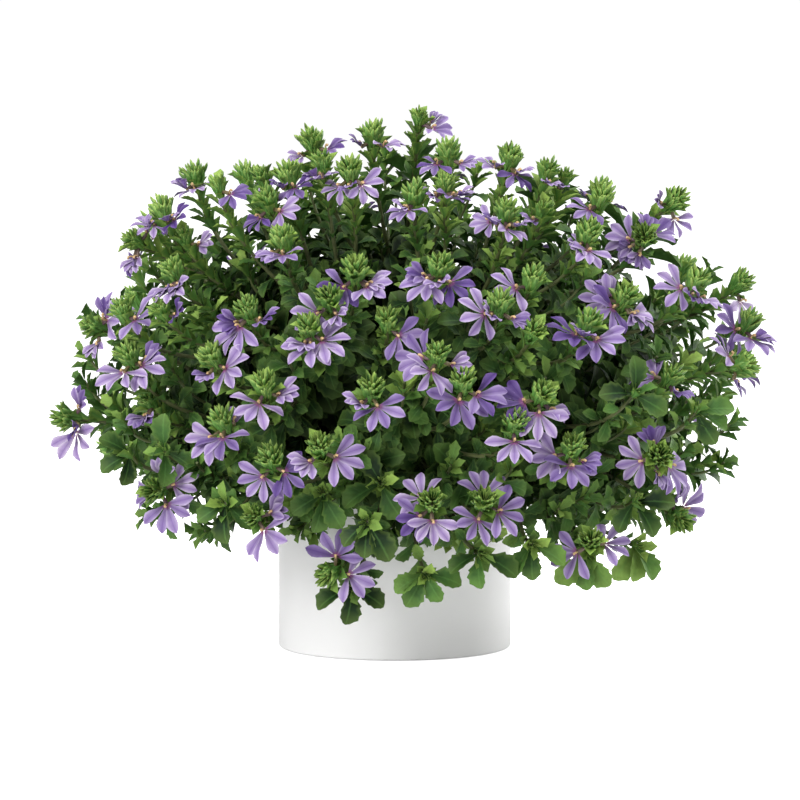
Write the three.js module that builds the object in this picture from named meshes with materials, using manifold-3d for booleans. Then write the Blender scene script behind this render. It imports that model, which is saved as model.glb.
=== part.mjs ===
// Potted fan flower. A mound of leafy stems stands in a plain white pot. Each shoot ends in a
// green tuft of bracts, with lilac fan-shaped blooms round the stem below it.
// Millimetres, +Z up, the front looks along -Y. The origin is the centre of the pot's underside.

import * as THREE from 'three';
import { mergeVertices } from 'three/addons/utils/BufferGeometryUtils.js';
import Module from 'manifold-3d';

const wasm = await Module();
wasm.setup();

// Pot and soil
const potDiameter = 130;
const potHeight = 100;
const potWall = 4;
const potFloor = 5;
const potEdge = 1.5;
const potSides = 32;
const soilBelowRim = 12;
const soilRise = 3;
const gap = 0.3;
const sliver = 0.2;

// The mound that the plant fills: half sizes of an ellipsoid and its middle
const mound = { x: 8, z: 150, wide: 205, deep: 180, tall: 162 };
const topDraw = 0.3;
const growthCentre = new THREE.Vector3(0, 0, 100);
const golden = 0.6180339887;

// Flower heads on the back of the mound, and leafy twigs inside it: how many, the lowest and
// highest as sines of their height, and their depths as shares of the mound's half sizes. The twigs
// fill the middle and the back, where fewer heads stand.
const back = { count: 19, lowest: -0.45, highest: 0.93, round: 0.93, tall: 0.86 };
const backSpread = { low: 0.94, crown: 1.15, crownFrom: 0.6 };
const inner = { count: 11, lowest: 0.15, highest: 0.97, depths: [0.82, 0.66] };
const innerSpread = 1.15;

// Stems
const stemSides = 3;
const mainStemRadius = 1.9;
const shootRadius = 1.25;
const shootNeckRadius = 1.7;
const stemTipRadius = 1.5;
const rootFlare = 4.5;
const leafBand = 2.4;
const lowestBand = 0.3;
const shootBand = 3.6;
const bandTurn = 0.4;
const frontBands = 6;
const backBands = 4;
const stemInSoil = 28;
const firstBand = 0.42;
const lastBand = 0.97;
const stemHoleDepth = 22;
const stemHoleRadius = 3.6;
const stemHoleSides = 4;
const lowStems = 7;
const midStems = 5;

// Tuft of bracts
const tuftRadius = 7.4;
const tuftHeight = 17;

// Main stem courses: distance from the pot's axis and height over the soil, and for the upright
// stem its place across, forward and over the soil
const lowCourse = [[38, -20], [38, -8], [38.4, 6], [58, 30], [92, 40]];
const midCourse = [[18, -20], [18, -8], [18.3, 8], [34, 52], [68, 98]];
const topCourse = [[0, 0, -20], [0, 0, -8], [0, 0, 8], [-2, 0, 60], [4, -6, 125]];

// A shoot leaves its main stem outward and a little along it, and comes to its tuft along its aim
const leaving = { along: 0.6, direct: 0.8, reach: 0.32 };
const arrivingReach = 0.34;
const furthestBend = THREE.MathUtils.degToRad(80);
const sways = [0, 9, -9, 18, -18];

// Bloom
const petalLength = 16.4;
const petalWidth = 6.4;
const petalSpacing = THREE.MathUtils.degToRad(41);
const petalNotch = 0.26;
const bloomThickness = 2.4;
const throatFromStem = 7.6;
const bloomBelowTuft = 2.2;
const openBloom = { petals: 5, reach: 1, cup: 0.12, size: 1 };
const closedBloom = { petals: 3, reach: 0.9, cup: 0.3, size: 0.85 };
const bloomRing = { forward: 0.45, steep: 0.5 };
const fanFacing = { radial: 0.9, viewer: 0.5, up: 0.25, outward: -0.25 };
const fanDip = 0.25;
const rootGapMargin = 0.25;
const nodeLimit = 60;

// The blooms of high heads are smaller and lie flatter round their shoot
const high = { from: 205, over: 50, smaller: 0.24, flatter: 0.6 };

// Leaves
const leafLength = 20;
const tipLeafLength = 20;
const innerLeafLength = 30;
const leafWidthShare = 0.62;
const leafThickness = 1.3;
const smallLeafLength = 10;
const smallLeafLift = 0.6;
const innerLeavesBelow = [13, 4];

// How the flowering plant is seen: the places below were read in a square picture of it, in
// pixels across and down, by an eye this far away that looks slightly down
const seenFrom = { distance: 2500, focus: 4475, middle: 400, tilt: THREE.MathUtils.degToRad(4.5) };
const seenTarget = new THREE.Vector3(3, 0, 138);

const vec = (x, y, z) => new THREE.Vector3(x, y, z);
const up = vec(0, 0, 1);
const across = vec(1, 0, 0);
const toViewer = vec(0, -1, 0);
const degrees = THREE.MathUtils.degToRad;

// A small repeatable source of random numbers from 0 to 1
let seed = 20260;
function draw() {
  seed = (seed * 16807) % 2147483647;
  return seed / 2147483647;
}
const between = (low, high) => low + (high - low) * draw();

// One closed surface, collected point by point
class Shell {
  constructor() {
    this.points = [];
    this.faces = [];
  }

  point(p) {
    this.points.push(p);
    return this.points.length - 1;
  }

  face(a, b, c) {
    this.faces.push([a, b, c]);
  }

  solid() {
    const vertProperties = new Float32Array(this.points.flatMap((p) => [p.x, p.y, p.z]));
    const triVerts = new Uint32Array(this.faces.flat());
    return new wasm.Manifold(new wasm.Mesh({ numProp: 3, vertProperties, triVerts }));
  }
}

// A ready-made closed geometry as a solid
function solidOf(geometry) {
  geometry.deleteAttribute('normal');
  geometry.deleteAttribute('uv');
  const merged = mergeVertices(geometry, 1e-4);
  const vertProperties = new Float32Array(merged.attributes.position.array);
  const triVerts = new Uint32Array(merged.index.array);
  return new wasm.Manifold(new wasm.Mesh({ numProp: 3, vertProperties, triVerts }));
}

// A solid without the slivers that joining leaves, unless it would come apart
function withoutSlivers(solid) {
  const simpler = solid.asOriginal().simplify(sliver);
  return simpler.decompose().length === 1 ? simpler : solid;
}

function geometryOf(solid) {
  const mesh = withoutSlivers(solid).getMesh();
  const geometry = new THREE.BufferGeometry();
  geometry.setAttribute('position', new THREE.BufferAttribute(mesh.vertProperties.slice(), 3));
  geometry.setIndex(new THREE.BufferAttribute(mesh.triVerts.slice(), 1));
  geometry.computeVertexNormals();
  return geometry;
}

// The largest body of a solid, so that a loose scrap is dropped
function wholeBody(solid) {
  const bodies = solid.decompose();
  return bodies.reduce((best, body) => (body.volume() > best.volume() ? body : best));
}

// A solid with its bounding box, and the ones already in place
const boxed = (solid) => ({ solid, box: solid.boundingBox() });
const placed = [];

function place(solid) {
  const item = boxed(solid);
  placed.push(item);
  return item;
}

function boxesMeet(a, b) {
  return [0, 1, 2].every((k) => a.min[k] <= b.max[k] && b.min[k] <= a.max[k]);
}

// The placed pieces that a solid meets
function metBy(solid, items) {
  const box = solid.boundingBox();
  return items.filter((item) => boxesMeet(box, item.box) && !item.solid.intersect(solid).isEmpty());
}

// How many faces two solids gain when they are joined
function facesGained(a, b) {
  return a.add(b).numTri() - a.numTri() - b.numTri();
}

// Where the line of sight through a pixel meets the plane y = depth
function seenAt(acrossPx, downPx, depth) {
  const ahead = vec(0, Math.cos(seenFrom.tilt), -Math.sin(seenFrom.tilt));
  const above = vec(0, Math.sin(seenFrom.tilt), Math.cos(seenFrom.tilt));
  const eye = seenTarget.clone().addScaledVector(ahead, -seenFrom.distance);
  const ray = ahead.clone().multiplyScalar(seenFrom.focus);
  ray.addScaledVector(across, acrossPx - seenFrom.middle);
  ray.addScaledVector(above, seenFrom.middle - downPx);
  return eye.addScaledVector(ray, (depth - eye.y) / ray.y);
}

// The mound draws in toward its top
const drawnIn = (w) => 1 - topDraw * Math.max(0, w) ** 2;

// The place on the front of the mound that shows at a pixel
function onMound(acrossPx, downPx, sunk) {
  let place = seenAt(acrossPx, downPx, 0);
  for (let pass = 0; pass < 3; pass += 1) {
    const u = (place.x - mound.x) / mound.wide;
    const w = (place.z - mound.z) / mound.tall;
    const depth = -mound.deep * Math.sqrt(Math.max(0.01, 1 - u * u - w * w)) * drawnIn(w);
    place = seenAt(acrossPx, downPx, depth * (1 - sunk));
  }
  return place;
}

// How steeply a shoot stands at a height: level or drooping below the rim, upright at the top
const steepness = [[40, -18], [75, 8], [100, 34], [125, 52], [220, 62], [310, 82]];

function steepnessAt(height) {
  if (height <= steepness[0][0]) return degrees(steepness[0][1]);
  for (let k = 1; k < steepness.length; k += 1) {
    const [z0, angle0] = steepness[k - 1];
    const [z1, angle1] = steepness[k];
    if (height <= z1) return degrees(angle0 + ((angle1 - angle0) * (height - z0)) / (z1 - z0));
  }
  return degrees(steepness.at(-1)[1]);
}

// A direction given as on a clock face that the viewer sees, with a share toward the viewer
function clockDirection(hour, forward) {
  const turn = degrees(hour * 30);
  const direction = across.clone().multiplyScalar(Math.sin(turn));
  direction.addScaledVector(up, Math.cos(turn));
  return direction.addScaledVector(toViewer, forward).normalize();
}

// A flower head: pixels across and down of its tuft, clock hours of its open blooms, and of those
// seen from the side or half open. Options: sunk (share behind the mound's front), size, and lean
// (clock hour of the tip, share toward the viewer).
function head(acrossPx, downPx, open, side = [], options = {}) {
  const rows = options.size < 1 ? 2 : 3;
  return { acrossPx, downPx, open, side, sunk: 0, size: 1, rows, ...options };
}

const frontHeads = [
  head(194, 168, [6], [8]),
  head(217, 178, [4], [], { size: 0.8 }),
  head(160, 202, [8, 4], [5]),
  head(128, 238, [9], [12, 7], { lean: [10, 0.5], size: 0.8 }),
  head(170, 264, [6], [7, 5]),
  head(182, 232, [], [3], { sunk: 0.3, size: 0.8 }),
  head(309, 133, [3], [9]),
  head(321, 157, [6], [7], { size: 0.9 }),
  head(286, 166, [5], [7]),
  head(261, 171, [], [5], { size: 0.8, sunk: 0.2 }),
  head(264, 193, [8, 4]),
  head(349, 163, [4, 8], [6]),
  head(372, 126, [4], [9]),
  head(420, 112, [3], [1], { size: 0.7 }),
  head(448, 143, [8], [3]),
  head(415, 187, [7], [8]),
  head(445, 178, [5], [8, 3], { size: 0.8 }),
  head(512, 150, [9, 5], [4]),
  head(549, 163, [], [6], { size: 0.9 }),
  head(566, 172, [], [7], { size: 0.7, sunk: 0.2 }),
  head(507, 204, [10, 6], [8, 4]),
  head(546, 205, [], [8], { size: 0.8, sunk: 0.2 }),
  head(604, 190, [8], []),
  head(591, 226, [6], [8]),
  head(645, 232, [10, 1], [12, 9, 7], { lean: [12, 1.4] }),
  head(681, 196, [4], [9], { lean: [1.6, 0.4] }),
  head(701, 275, [9, 5], [7]),
  head(746, 278, [4], [], { lean: [1.5, 0.3] }),
  head(752, 315, [8, 5], [3], { sunk: 0.1 }),
  head(752, 365, [11], [3], { lean: [2.6, 0.3] }),
  head(630, 290, [10, 3, 8], [12, 4], { sunk: 0.1 }),
  head(591, 315, [4, 8], [7]),
  head(536, 326, [], [], { size: 0.9 }),
  head(534, 271, [9], []),
  head(502, 296, [9], [8, 3]),
  head(441, 259, [8, 4], [6, 10]),
  head(356, 263, [8, 4], [3], { size: 1.1 }),
  head(281, 231, [6], [8]),
  head(246, 302, [8], [10, 4]),
  head(328, 292, [9], [5]),
  head(307, 320, [4, 6], [7]),
  head(387, 314, [4], [], { size: 0.9, sunk: 0.1 }),
  head(439, 348, [11, 7], [3], { size: 0.9 }),
  head(463, 375, [3, 6.6]),
  head(545, 388, [9, 6], [3]),
  head(516, 416, [6]),
  head(575, 441, [9, 6], [3]),
  head(371, 382, [5], [8]),
  head(262, 378, [7], [3]),
  head(319, 441, [3], [8]),
  head(268, 452, [8, 4]),
  head(219, 413, [9, 6], [12]),
  head(208, 350, [4], [7]),
  head(158, 305, [], [3], { size: 0.8 }),
  head(120, 303, [4], [], { size: 0.9 }),
  head(86, 325, [2], [11, 7], { lean: [9.6, 0.3], size: 0.8 }),
  head(125, 348, [4, 7], [1]),
  head(145, 395, [], [7, 6], { size: 0.8, sunk: 0.2 }),
  head(58, 417, [7], [1, 4], { lean: [9.3, 0.4] }),
  head(150, 490, [2, 5.5], [9, 12], { lean: [9.4, 1.4] }),
  head(250, 513, [5], [2], { size: 0.8 }),
  head(324, 578, [12, 3.5], [], { lean: [8, 0.9] }),
  head(432, 497, [11, 8, 6], [], { lean: [12, 1.3] }),
  head(484, 497, [12, 7, 3], [], { lean: [12, 1.3] }),
  head(591, 537, [2, 8.6], [], { lean: [12, 1.3], size: 0.9 }),
  head(662, 453, [9, 3.4], [12, 6], { lean: [1, 2] }),
  head(684, 522, [3], [12], { lean: [4, 1.2] }),
  head(675, 370, [12], [5], { size: 0.9, sunk: 0.1 }),
];

// A leafy tip without a flower: pixels across and down, and the clock hours of its leaves
function leafyTip(acrossPx, downPx, leafHours, options = {}) {
  return { acrossPx, downPx, leafHours, sunk: 0.05, size: 0.5, rows: 1, ...options };
}

const leafyTips = [
  leafyTip(426, 575, [3.5, 5, 8, 7]),
  leafyTip(483, 555, [4, 6, 8]),
  leafyTip(350, 590, [4, 6.3, 8]),
  leafyTip(592, 555, [4.8, 6, 7.6]),
  leafyTip(640, 545, [5, 6, 7]),
  leafyTip(535, 545, [6, 7, 4]),
  leafyTip(126, 448, [6.4, 10, 8], { sunk: 0.1 }),
  leafyTip(160, 445, [6, 12, 4], { sunk: 0.1 }),
  leafyTip(222, 500, [6, 4.5, 8]),
  leafyTip(700, 405, [2.8, 4, 5]),
  leafyTip(640, 498, [5, 7, 3]),
  leafyTip(638, 388, [4, 9, 12]),
  leafyTip(380, 480, [5, 8, 11], { sunk: 0.15 }),
  leafyTip(322, 490, [5, 6.4, 8], { sunk: 0.1 }),
  leafyTip(366, 520, [5, 6.2, 7.6]),
];

// Tube-like skin: rings of points round a path, with a plain, spiked or leaf-bearing cell
// between two points of one ring and the two above them
function ringPoints(shell, middle, frame, radius, turn) {
  return Array.from({ length: stemSides }, (_, side) => {
    const angle = (2 * Math.PI * (side + turn)) / stemSides;
    const point = middle.clone().addScaledVector(frame.first, radius * Math.cos(angle));
    return shell.point(point.addScaledVector(frame.second, radius * Math.sin(angle)));
  });
}

function plainCell(shell, [a, b, c, d]) {
  shell.face(a, b, c);
  shell.face(a, c, d);
}

function spikeCell(shell, [a, b, c, d], tip) {
  const top = shell.point(tip);
  shell.face(a, b, top);
  shell.face(b, c, top);
  shell.face(c, d, top);
  shell.face(d, a, top);
}

// A leaf that grows out of a cell: its upper skin joins the cell's upper edge, its lower skin the
// lower edge, and both share the toothed outline
function leafCell(shell, [a, b, c, d], leaf) {
  const outline = leaf.outline.map((p) => shell.point(p.clone()));
  const top = shell.point(leaf.top.clone());
  const bottom = shell.point(leaf.bottom.clone());
  const first = outline[0];
  const last = outline.at(-1);
  shell.face(top, d, first);
  shell.face(bottom, first, a);
  for (let k = 1; k < outline.length; k += 1) {
    shell.face(top, outline[k - 1], outline[k]);
    shell.face(bottom, outline[k], outline[k - 1]);
  }
  shell.face(top, last, c);
  shell.face(bottom, b, last);
  shell.face(top, c, d);
  shell.face(bottom, a, b);
  shell.face(a, first, d);
  shell.face(b, c, last);
}

// One side of a leaf's outline, from its stalk to its tip: share of length, share of half width
const toothedSide = [[0.3, 0.3], [0.64, 0.95], [0.86, 0.66]];
const plainSide = [[0.36, 0.66], [0.76, 1]];

// A leaf's outline and the points that give it its thickness
function leafShape(root, direction, normal, length, droop, profile) {
  const side = normal.clone().cross(direction);
  const at = (share, sideShare) => {
    const lift = 0.3 * share - droop * share * share - 0.13 * Math.abs(sideShare);
    const point = root.clone().addScaledVector(direction, length * share);
    point.addScaledVector(side, (length / 2) * leafWidthShare * sideShare);
    return point.addScaledVector(normal, lift * length);
  };
  const left = profile.map(([share, half]) => at(share, -half));
  const right = profile.map(([share, half]) => at(share, half)).reverse();
  const middle = at(0.5, 0);
  return {
    outline: [...left, at(1, 0), ...right],
    top: middle.clone().addScaledVector(normal, leafThickness / 2),
    bottom: middle.clone().addScaledVector(normal, -leafThickness / 2),
  };
}

// The same leaf by itself, closed at its stalk and a little thicker, to test what it would cross
function leafProbe(cell, leaf) {
  const shell = new Shell();
  const corners = cell.map((p) => shell.point(p.clone()));
  const thicker = { ...leaf, top: leaf.top.clone().lerp(leaf.bottom, -0.4) };
  thicker.bottom = leaf.bottom.clone().lerp(leaf.top, -0.4);
  leafCell(shell, corners, thicker);
  shell.face(corners[0], corners[2], corners[1]);
  shell.face(corners[0], corners[3], corners[2]);
  return shell.solid();
}

function frameAlong(path, share, reference) {
  const axis = path.getTangentAt(share);
  const first = reference.clone().addScaledVector(axis, -reference.dot(axis)).normalize();
  return { axis, first, second: axis.clone().cross(first) };
}

// Joins a cell, four points, to a ring of three that starts beside the same point
function joinLoops(shell, lower, upper) {
  let i = 0;
  let j = 0;
  while (i < lower.length || j < upper.length) {
    const from = lower[i % lower.length];
    const onto = upper[j % upper.length];
    const lowerFirst = (i + 1) / lower.length <= (j + 1) / upper.length;
    if (j >= upper.length || (i < lower.length && lowerFirst)) {
      shell.face(from, lower[(i + 1) % lower.length], onto);
      i += 1;
    } else {
      shell.face(from, upper[(j + 1) % upper.length], onto);
      j += 1;
    }
  }
}

// The rings of a shoot from just off the main stem to its neck, as shares of its length. A leaf
// band has two rings, half a side further round than the band below it. A bare shoot has one ring.
function shootStations(shoot) {
  const width = leafBand / shoot.length;
  const stations = [{ share: rootFlare / shoot.length, radius: shootRadius, turn: 0 }];
  shoot.bands.forEach((share, k) => {
    stations.push({ share, radius: shootRadius, turn: k / 2 });
    if (!shoot.bare) stations.push({ share: share + width, radius: shootRadius, turn: k / 2 });
  });
  return [...stations, { ...stations.at(-1), share: 1, radius: shootNeckRadius }];
}

function stationRing(shell, shoot, station) {
  const frame = frameAlong(shoot.path, station.share, shoot.reference);
  const middle = shoot.path.getPointAt(station.share);
  return ringPoints(shell, middle, frame, station.radius, shoot.turn + station.turn);
}

// The four corners of one side of a shoot's leaf band
function bandCorners(shoot, band, side) {
  const shell = new Shell();
  const [lower, upper] = shootStations(shoot).slice(1 + 2 * band, 3 + 2 * band)
    .map((station) => stationRing(shell, shoot, station));
  const next = (side + 1) % stemSides;
  return [lower[side], lower[next], upper[next], upper[side]].map((k) => shell.points[k]);
}

// The rows of bracts of a tuft, from its foot up: the core behind them and their tips, as shares
// of the tuft's height and radius. A tuft has one, two or three rows.
const bractRows = [
  [
    { coreHeight: 0.5, coreRadius: 0.5, tipHeight: 0.8, tipRadius: 0.9 },
  ],
  [
    { coreHeight: 0.42, coreRadius: 0.56, tipHeight: 0.6, tipRadius: 1 },
    { coreHeight: 0.8, coreRadius: 0.34, tipHeight: 0.98, tipRadius: 0.74 },
  ],
  [
    { coreHeight: 0.3, coreRadius: 0.52, tipHeight: 0.46, tipRadius: 1 },
    { coreHeight: 0.58, coreRadius: 0.5, tipHeight: 0.8, tipRadius: 0.86 },
    { coreHeight: 0.84, coreRadius: 0.26, tipHeight: 1.04, tipRadius: 0.5 },
  ],
];

// A shoot that grows out of a cell: its stem with its bands of leaves, then the tuft, rows of
// pointed bracts on a small core
function shootCell(shell, cell, shoot) {
  const stations = shootStations(shoot);
  const rings = stations.map((station) => stationRing(shell, shoot, station));
  const neckTurn = shoot.turn + stations.at(-1).turn;
  const end = shoot.path.getPointAt(1);
  const frame = frameAlong(shoot.path, 1, shoot.reference);
  const tall = tuftHeight * shoot.size;
  const wide = tuftRadius * shoot.size;
  const step = (2 * Math.PI) / stemSides;
  const at = (height, radius, turn) => {
    const angle = (neckTurn + turn) * step;
    const point = end.clone().addScaledVector(frame.axis, height);
    point.addScaledVector(frame.first, radius * Math.cos(angle));
    return point.addScaledVector(frame.second, radius * Math.sin(angle));
  };
  const rows = bractRows[shoot.rows - 1];
  const core = rows.map(({ coreHeight, coreRadius }, row) =>
    ringPoints(shell, at(tall * coreHeight, 0, 0), frame, wide * coreRadius,
      neckTurn + (row + 1) / 2));
  joinLoops(shell, cell, rings[0]);
  for (let side = 0; side < stemSides; side += 1) {
    const next = (side + 1) % stemSides;
    for (let level = 1; level < rings.length; level += 1) {
      const lower = rings[level - 1];
      const upper = rings[level];
      const leaf = shoot.bare || level % 2 > 0 ? null : shoot.leaves[level / 2 - 1][side];
      fillCell(shell, [lower[side], lower[next], upper[next], upper[side]], leaf);
    }
    rows.forEach(({ tipHeight, tipRadius }, row) => {
      const lower = row === 0 ? rings.at(-1) : core[row - 1];
      const upper = core[row];
      const tip = at(tall * tipHeight, wide * tipRadius, side + 0.75 + row / 2);
      spikeCell(shell, [lower[side], lower[next], upper[next], upper[side]], tip);
    });
  }
  const tip = shell.point(at(tall * 1.1, 0, 0));
  const crown = core.at(-1);
  for (let side = 0; side < stemSides; side += 1) {
    shell.face(crown[side], crown[(side + 1) % stemSides], tip);
  }
}

// Leaves are points with an outline, small leaves single points, and shoots have a path
function fillCell(shell, cell, growth) {
  if (!growth) plainCell(shell, cell);
  else if (growth.path) shootCell(shell, cell, growth);
  else if (growth.outline) leafCell(shell, cell, growth);
  else spikeCell(shell, cell, growth);
}

// What grows out of a cell, by itself and closed at its foot
function aloneSolid(corners, growth) {
  const shell = new Shell();
  const cell = corners.map((p) => shell.point(p.clone()));
  fillCell(shell, cell, growth);
  shell.face(cell[0], cell[2], cell[1]);
  shell.face(cell[0], cell[3], cell[2]);
  return shell.solid();
}

// A bloom: five narrow petals, or three on a half open one, in a fan with knife edges. The hub is
// thick at the throat, and the tube runs back to the root point beside the stem.
function bloomSolid(bloom, grow = 1) {
  const shell = new Shell();
  const { throat, centre, normal, petals } = bloom;
  const side = normal.clone().cross(centre);
  const length = petalLength * bloom.size * grow;
  const half = (petalWidth * bloom.size * grow) / 2;
  const at = (radius, angle, lift) => {
    const point = throat.clone().addScaledVector(centre, radius * Math.cos(angle));
    point.addScaledVector(side, radius * Math.sin(angle));
    return point.addScaledVector(normal, lift);
  };
  const outline = [shell.point(bloom.root.clone())];
  for (let petal = 0; petal < petals; petal += 1) {
    const angle = (petal - (petals - 1) / 2) * petalSpacing;
    const belly = 0.6 * length;
    const bellyRadius = Math.hypot(belly, half);
    const bellyAngle = Math.atan2(half, belly);
    const cup = bloom.cup * length;
    outline.push(shell.point(at(bellyRadius, angle - bellyAngle, cup * 0.5)));
    outline.push(shell.point(at(length, angle, cup * 0.4)));
    outline.push(shell.point(at(bellyRadius, angle + bellyAngle, cup * 0.5)));
    if (petal < petals - 1) {
      outline.push(shell.point(at(petalNotch * length, angle + petalSpacing / 2, cup * 0.2)));
    }
  }
  const thick = (bloomThickness * bloom.size * (grow > 1 ? 1.3 : 1)) / 2;
  const top = shell.point(at(0.06 * length, 0, thick));
  const bottom = shell.point(at(0.06 * length, 0, -thick));
  outline.forEach((point, k) => {
    const next = outline[(k + 1) % outline.length];
    shell.face(top, point, next);
    shell.face(bottom, next, point);
  });
  return shell.solid();
}

// Pot: a turned profile from the underside up the outside, over the rim and down inside
function makePot() {
  const outer = potDiameter / 2;
  const inner = outer - potWall;
  const profile = [
    [0, 0], [outer - potEdge, 0], [outer, potEdge], [outer, potHeight - potEdge],
    [outer - potEdge, potHeight], [inner, potHeight], [inner, potFloor], [0, potFloor],
  ].map(([radius, height]) => new THREE.Vector2(radius, height));
  const pot = new THREE.LatheGeometry(profile, potSides);
  pot.rotateX(Math.PI / 2);
  return solidOf(pot);
}

// Soil: a plug with a slightly domed top and one plain hole for each main stem
function makeSoil(holes) {
  const cosHalf = Math.cos(Math.PI / potSides);
  const radius = (potDiameter / 2 - potWall) * cosHalf - gap;
  const top = potHeight - soilBelowRim;
  const profile = [
    [0, potFloor + gap], [radius, potFloor + gap], [radius, top],
    [radius * 0.55, top + soilRise * 0.7], [0, top + soilRise],
  ].map(([reach, height]) => new THREE.Vector2(reach, height));
  const plug = new THREE.LatheGeometry(profile, potSides / 2);
  plug.rotateX(Math.PI / 2);
  const cutters = holes.map(({ x, y }) => {
    const length = stemHoleDepth + soilBelowRim;
    const cutter = new THREE.CylinderGeometry(stemHoleRadius, stemHoleRadius, length, stemHoleSides);
    cutter.rotateX(Math.PI / 2);
    cutter.translate(x, y, top - stemHoleDepth + length / 2);
    return solidOf(cutter);
  });
  return solidOf(plug).subtract(wasm.Manifold.union(cutters));
}

// Main stems: low ones that arch over the rim, steeper ones and one upright one. Each has the
// direction in which its flower heads lie, and short bands whose sides the shoots grow from.
const soilTop = potHeight - soilBelowRim;
const roundFrom = (azimuth, radius, height) =>
  vec(radius * Math.cos(azimuth), radius * Math.sin(azimuth), height);

function mainStem(name, azimuth, steep, points) {
  const path = new THREE.CatmullRomCurve3(points);
  const length = path.getLength();
  const count = Math.sin(azimuth) < 0.1 ? frontBands : backBands;
  const bands = Array.from({ length: count }, (_, k) =>
    THREE.MathUtils.lerp(firstBand, lastBand, k / (count - 1)));
  const shares = [0, stemInSoil / length];
  bands.forEach((share) => {
    shares.push(share - shootBand / 2 / length, share + shootBand / 2 / length);
  });
  const direction = roundFrom(azimuth, Math.cos(steep), Math.sin(steep));
  return { name, azimuth, direction, path, shares, hole: points[0], growths: {} };
}

const mainStems = [];
for (let k = 0; k < lowStems; k += 1) {
  const azimuth = degrees(-90 + (360 * k) / lowStems);
  const points = lowCourse.map(([reach, height]) => roundFrom(azimuth, reach, soilTop + height));
  mainStems.push(mainStem(`stem_low_${k + 1}`, azimuth, degrees(2), points));
}
for (let k = 0; k < midStems; k += 1) {
  const azimuth = degrees(-54 + (360 * k) / midStems);
  const points = midCourse.map(([reach, height]) => roundFrom(azimuth, reach, soilTop + height));
  mainStems.push(mainStem(`stem_mid_${k + 1}`, azimuth, degrees(42), points));
}
mainStems.push(mainStem('stem_top', 0, degrees(88),
  topCourse.map(([x, y, height]) => vec(x, y, soilTop + height))));

// The rings of a main stem: each band turns a little, so that its shoots leave all round
function stemRings(shell, stem) {
  const reference = vec(-Math.sin(stem.azimuth), Math.cos(stem.azimuth), 0);
  return stem.shares.map((share, k) => {
    const radius = THREE.MathUtils.lerp(mainStemRadius, stemTipRadius, share);
    const frame = frameAlong(stem.path, share, reference);
    const turn = Math.floor(k / 2) * bandTurn;
    return ringPoints(shell, stem.path.getPointAt(share), frame, radius, turn);
  });
}

// The sides of a main stem's bands, with their corners, middle and outward direction
function stemCells(stem) {
  const shell = new Shell();
  const rings = stemRings(shell, stem);
  const cells = [];
  for (let level = 3; level < rings.length; level += 2) {
    const along = stem.path.getTangentAt(stem.shares[level]);
    for (let side = 0; side < stemSides; side += 1) {
      const next = (side + 1) % stemSides;
      const corners = [
        rings[level - 1][side], rings[level - 1][next], rings[level][next], rings[level][side],
      ].map((k) => shell.points[k]);
      const middle = vec(0, 0, 0);
      corners.forEach((corner) => middle.addScaledVector(corner, 0.25));
      const outward = corners[1].clone().sub(corners[0]).cross(along).normalize();
      cells.push({ key: `${level}/${side}`, corners, middle, outward, along });
    }
  }
  return cells;
}

function stemSolid(stem) {
  const shell = new Shell();
  const rings = stemRings(shell, stem);
  for (let level = 1; level < rings.length; level += 1) {
    const lower = rings[level - 1];
    const upper = rings[level];
    for (let side = 0; side < stemSides; side += 1) {
      const next = (side + 1) % stemSides;
      const cell = [lower[side], lower[next], upper[next], upper[side]];
      fillCell(shell, cell, stem.growths[`${level}/${side}`]);
    }
  }
  const last = rings.at(-1);
  for (let side = 1; side < stemSides - 1; side += 1) {
    shell.face(rings[0][0], rings[0][side + 1], rings[0][side]);
    shell.face(last[0], last[side], last[side + 1]);
  }
  return shell.solid();
}

// The way a tuft points
function aimOf(spec, place) {
  if (spec.lean) return clockDirection(spec.lean[0], spec.lean[1]);
  const steep = steepnessAt(place.z) + spec.nod;
  const azimuth = Math.atan2(place.y, place.x - mound.x) + spec.swing;
  return roundFrom(azimuth, Math.cos(steep), Math.sin(steep));
}

function growShoot(spec, stem, cell, sway) {
  const base = spec.place.clone().addScaledVector(spec.aim, -tuftHeight * spec.size * 0.5);
  const toBase = base.clone().sub(cell.middle);
  const span = toBase.length();
  const start = cell.outward.clone().addScaledVector(cell.along, leaving.along);
  start.addScaledVector(toBase, leaving.direct / span).normalize();
  const sideways = spec.aim.clone().cross(toBase).normalize().multiplyScalar(sway);
  const path = new THREE.CubicBezierCurve3(
    cell.middle,
    cell.middle.clone().addScaledVector(start, span * leaving.reach).add(sideways),
    base.clone().addScaledVector(spec.aim, -span * arrivingReach).add(sideways),
    base,
  );
  const reference = start.clone().cross(spec.aim);
  if (reference.length() < 0.2) reference.copy(across);
  reference.normalize();
  const frame = frameAlong(path, 0, reference);
  const corner = cell.corners[0].clone().sub(cell.middle);
  const cornerAngle = Math.atan2(corner.dot(frame.second), corner.dot(frame.first));
  const length = path.getLength();
  return {
    ...spec, stem, cell, path, base, length, reference,
    turn: (cornerAngle * stemSides) / (2 * Math.PI),
    bands: spec.leavesBelow.map((distance, k) =>
      Math.max(lowestBand * (k + 1), 1 - distance / length)),
    leaves: spec.leavesBelow.map(() => ({})),
  };
}

// What is drawn for each shoot: how far its tip swings and nods, and where its leaf band sits
const drawnTurns = () => ({
  swing: between(-0.25, 0.25),
  nod: between(-0.15, 0.15),
  leavesBelow: [between(17, 34)],
});

// Heads and tips of the front, read from the picture
function specOf(row) {
  const spec = { ...row, ...drawnTurns(), front: true, bare: row.rows === 2 };
  spec.place = onMound(row.acrossPx, row.downPx, row.sunk);
  spec.aim = aimOf(spec, spec.place);
  return spec;
}

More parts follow.
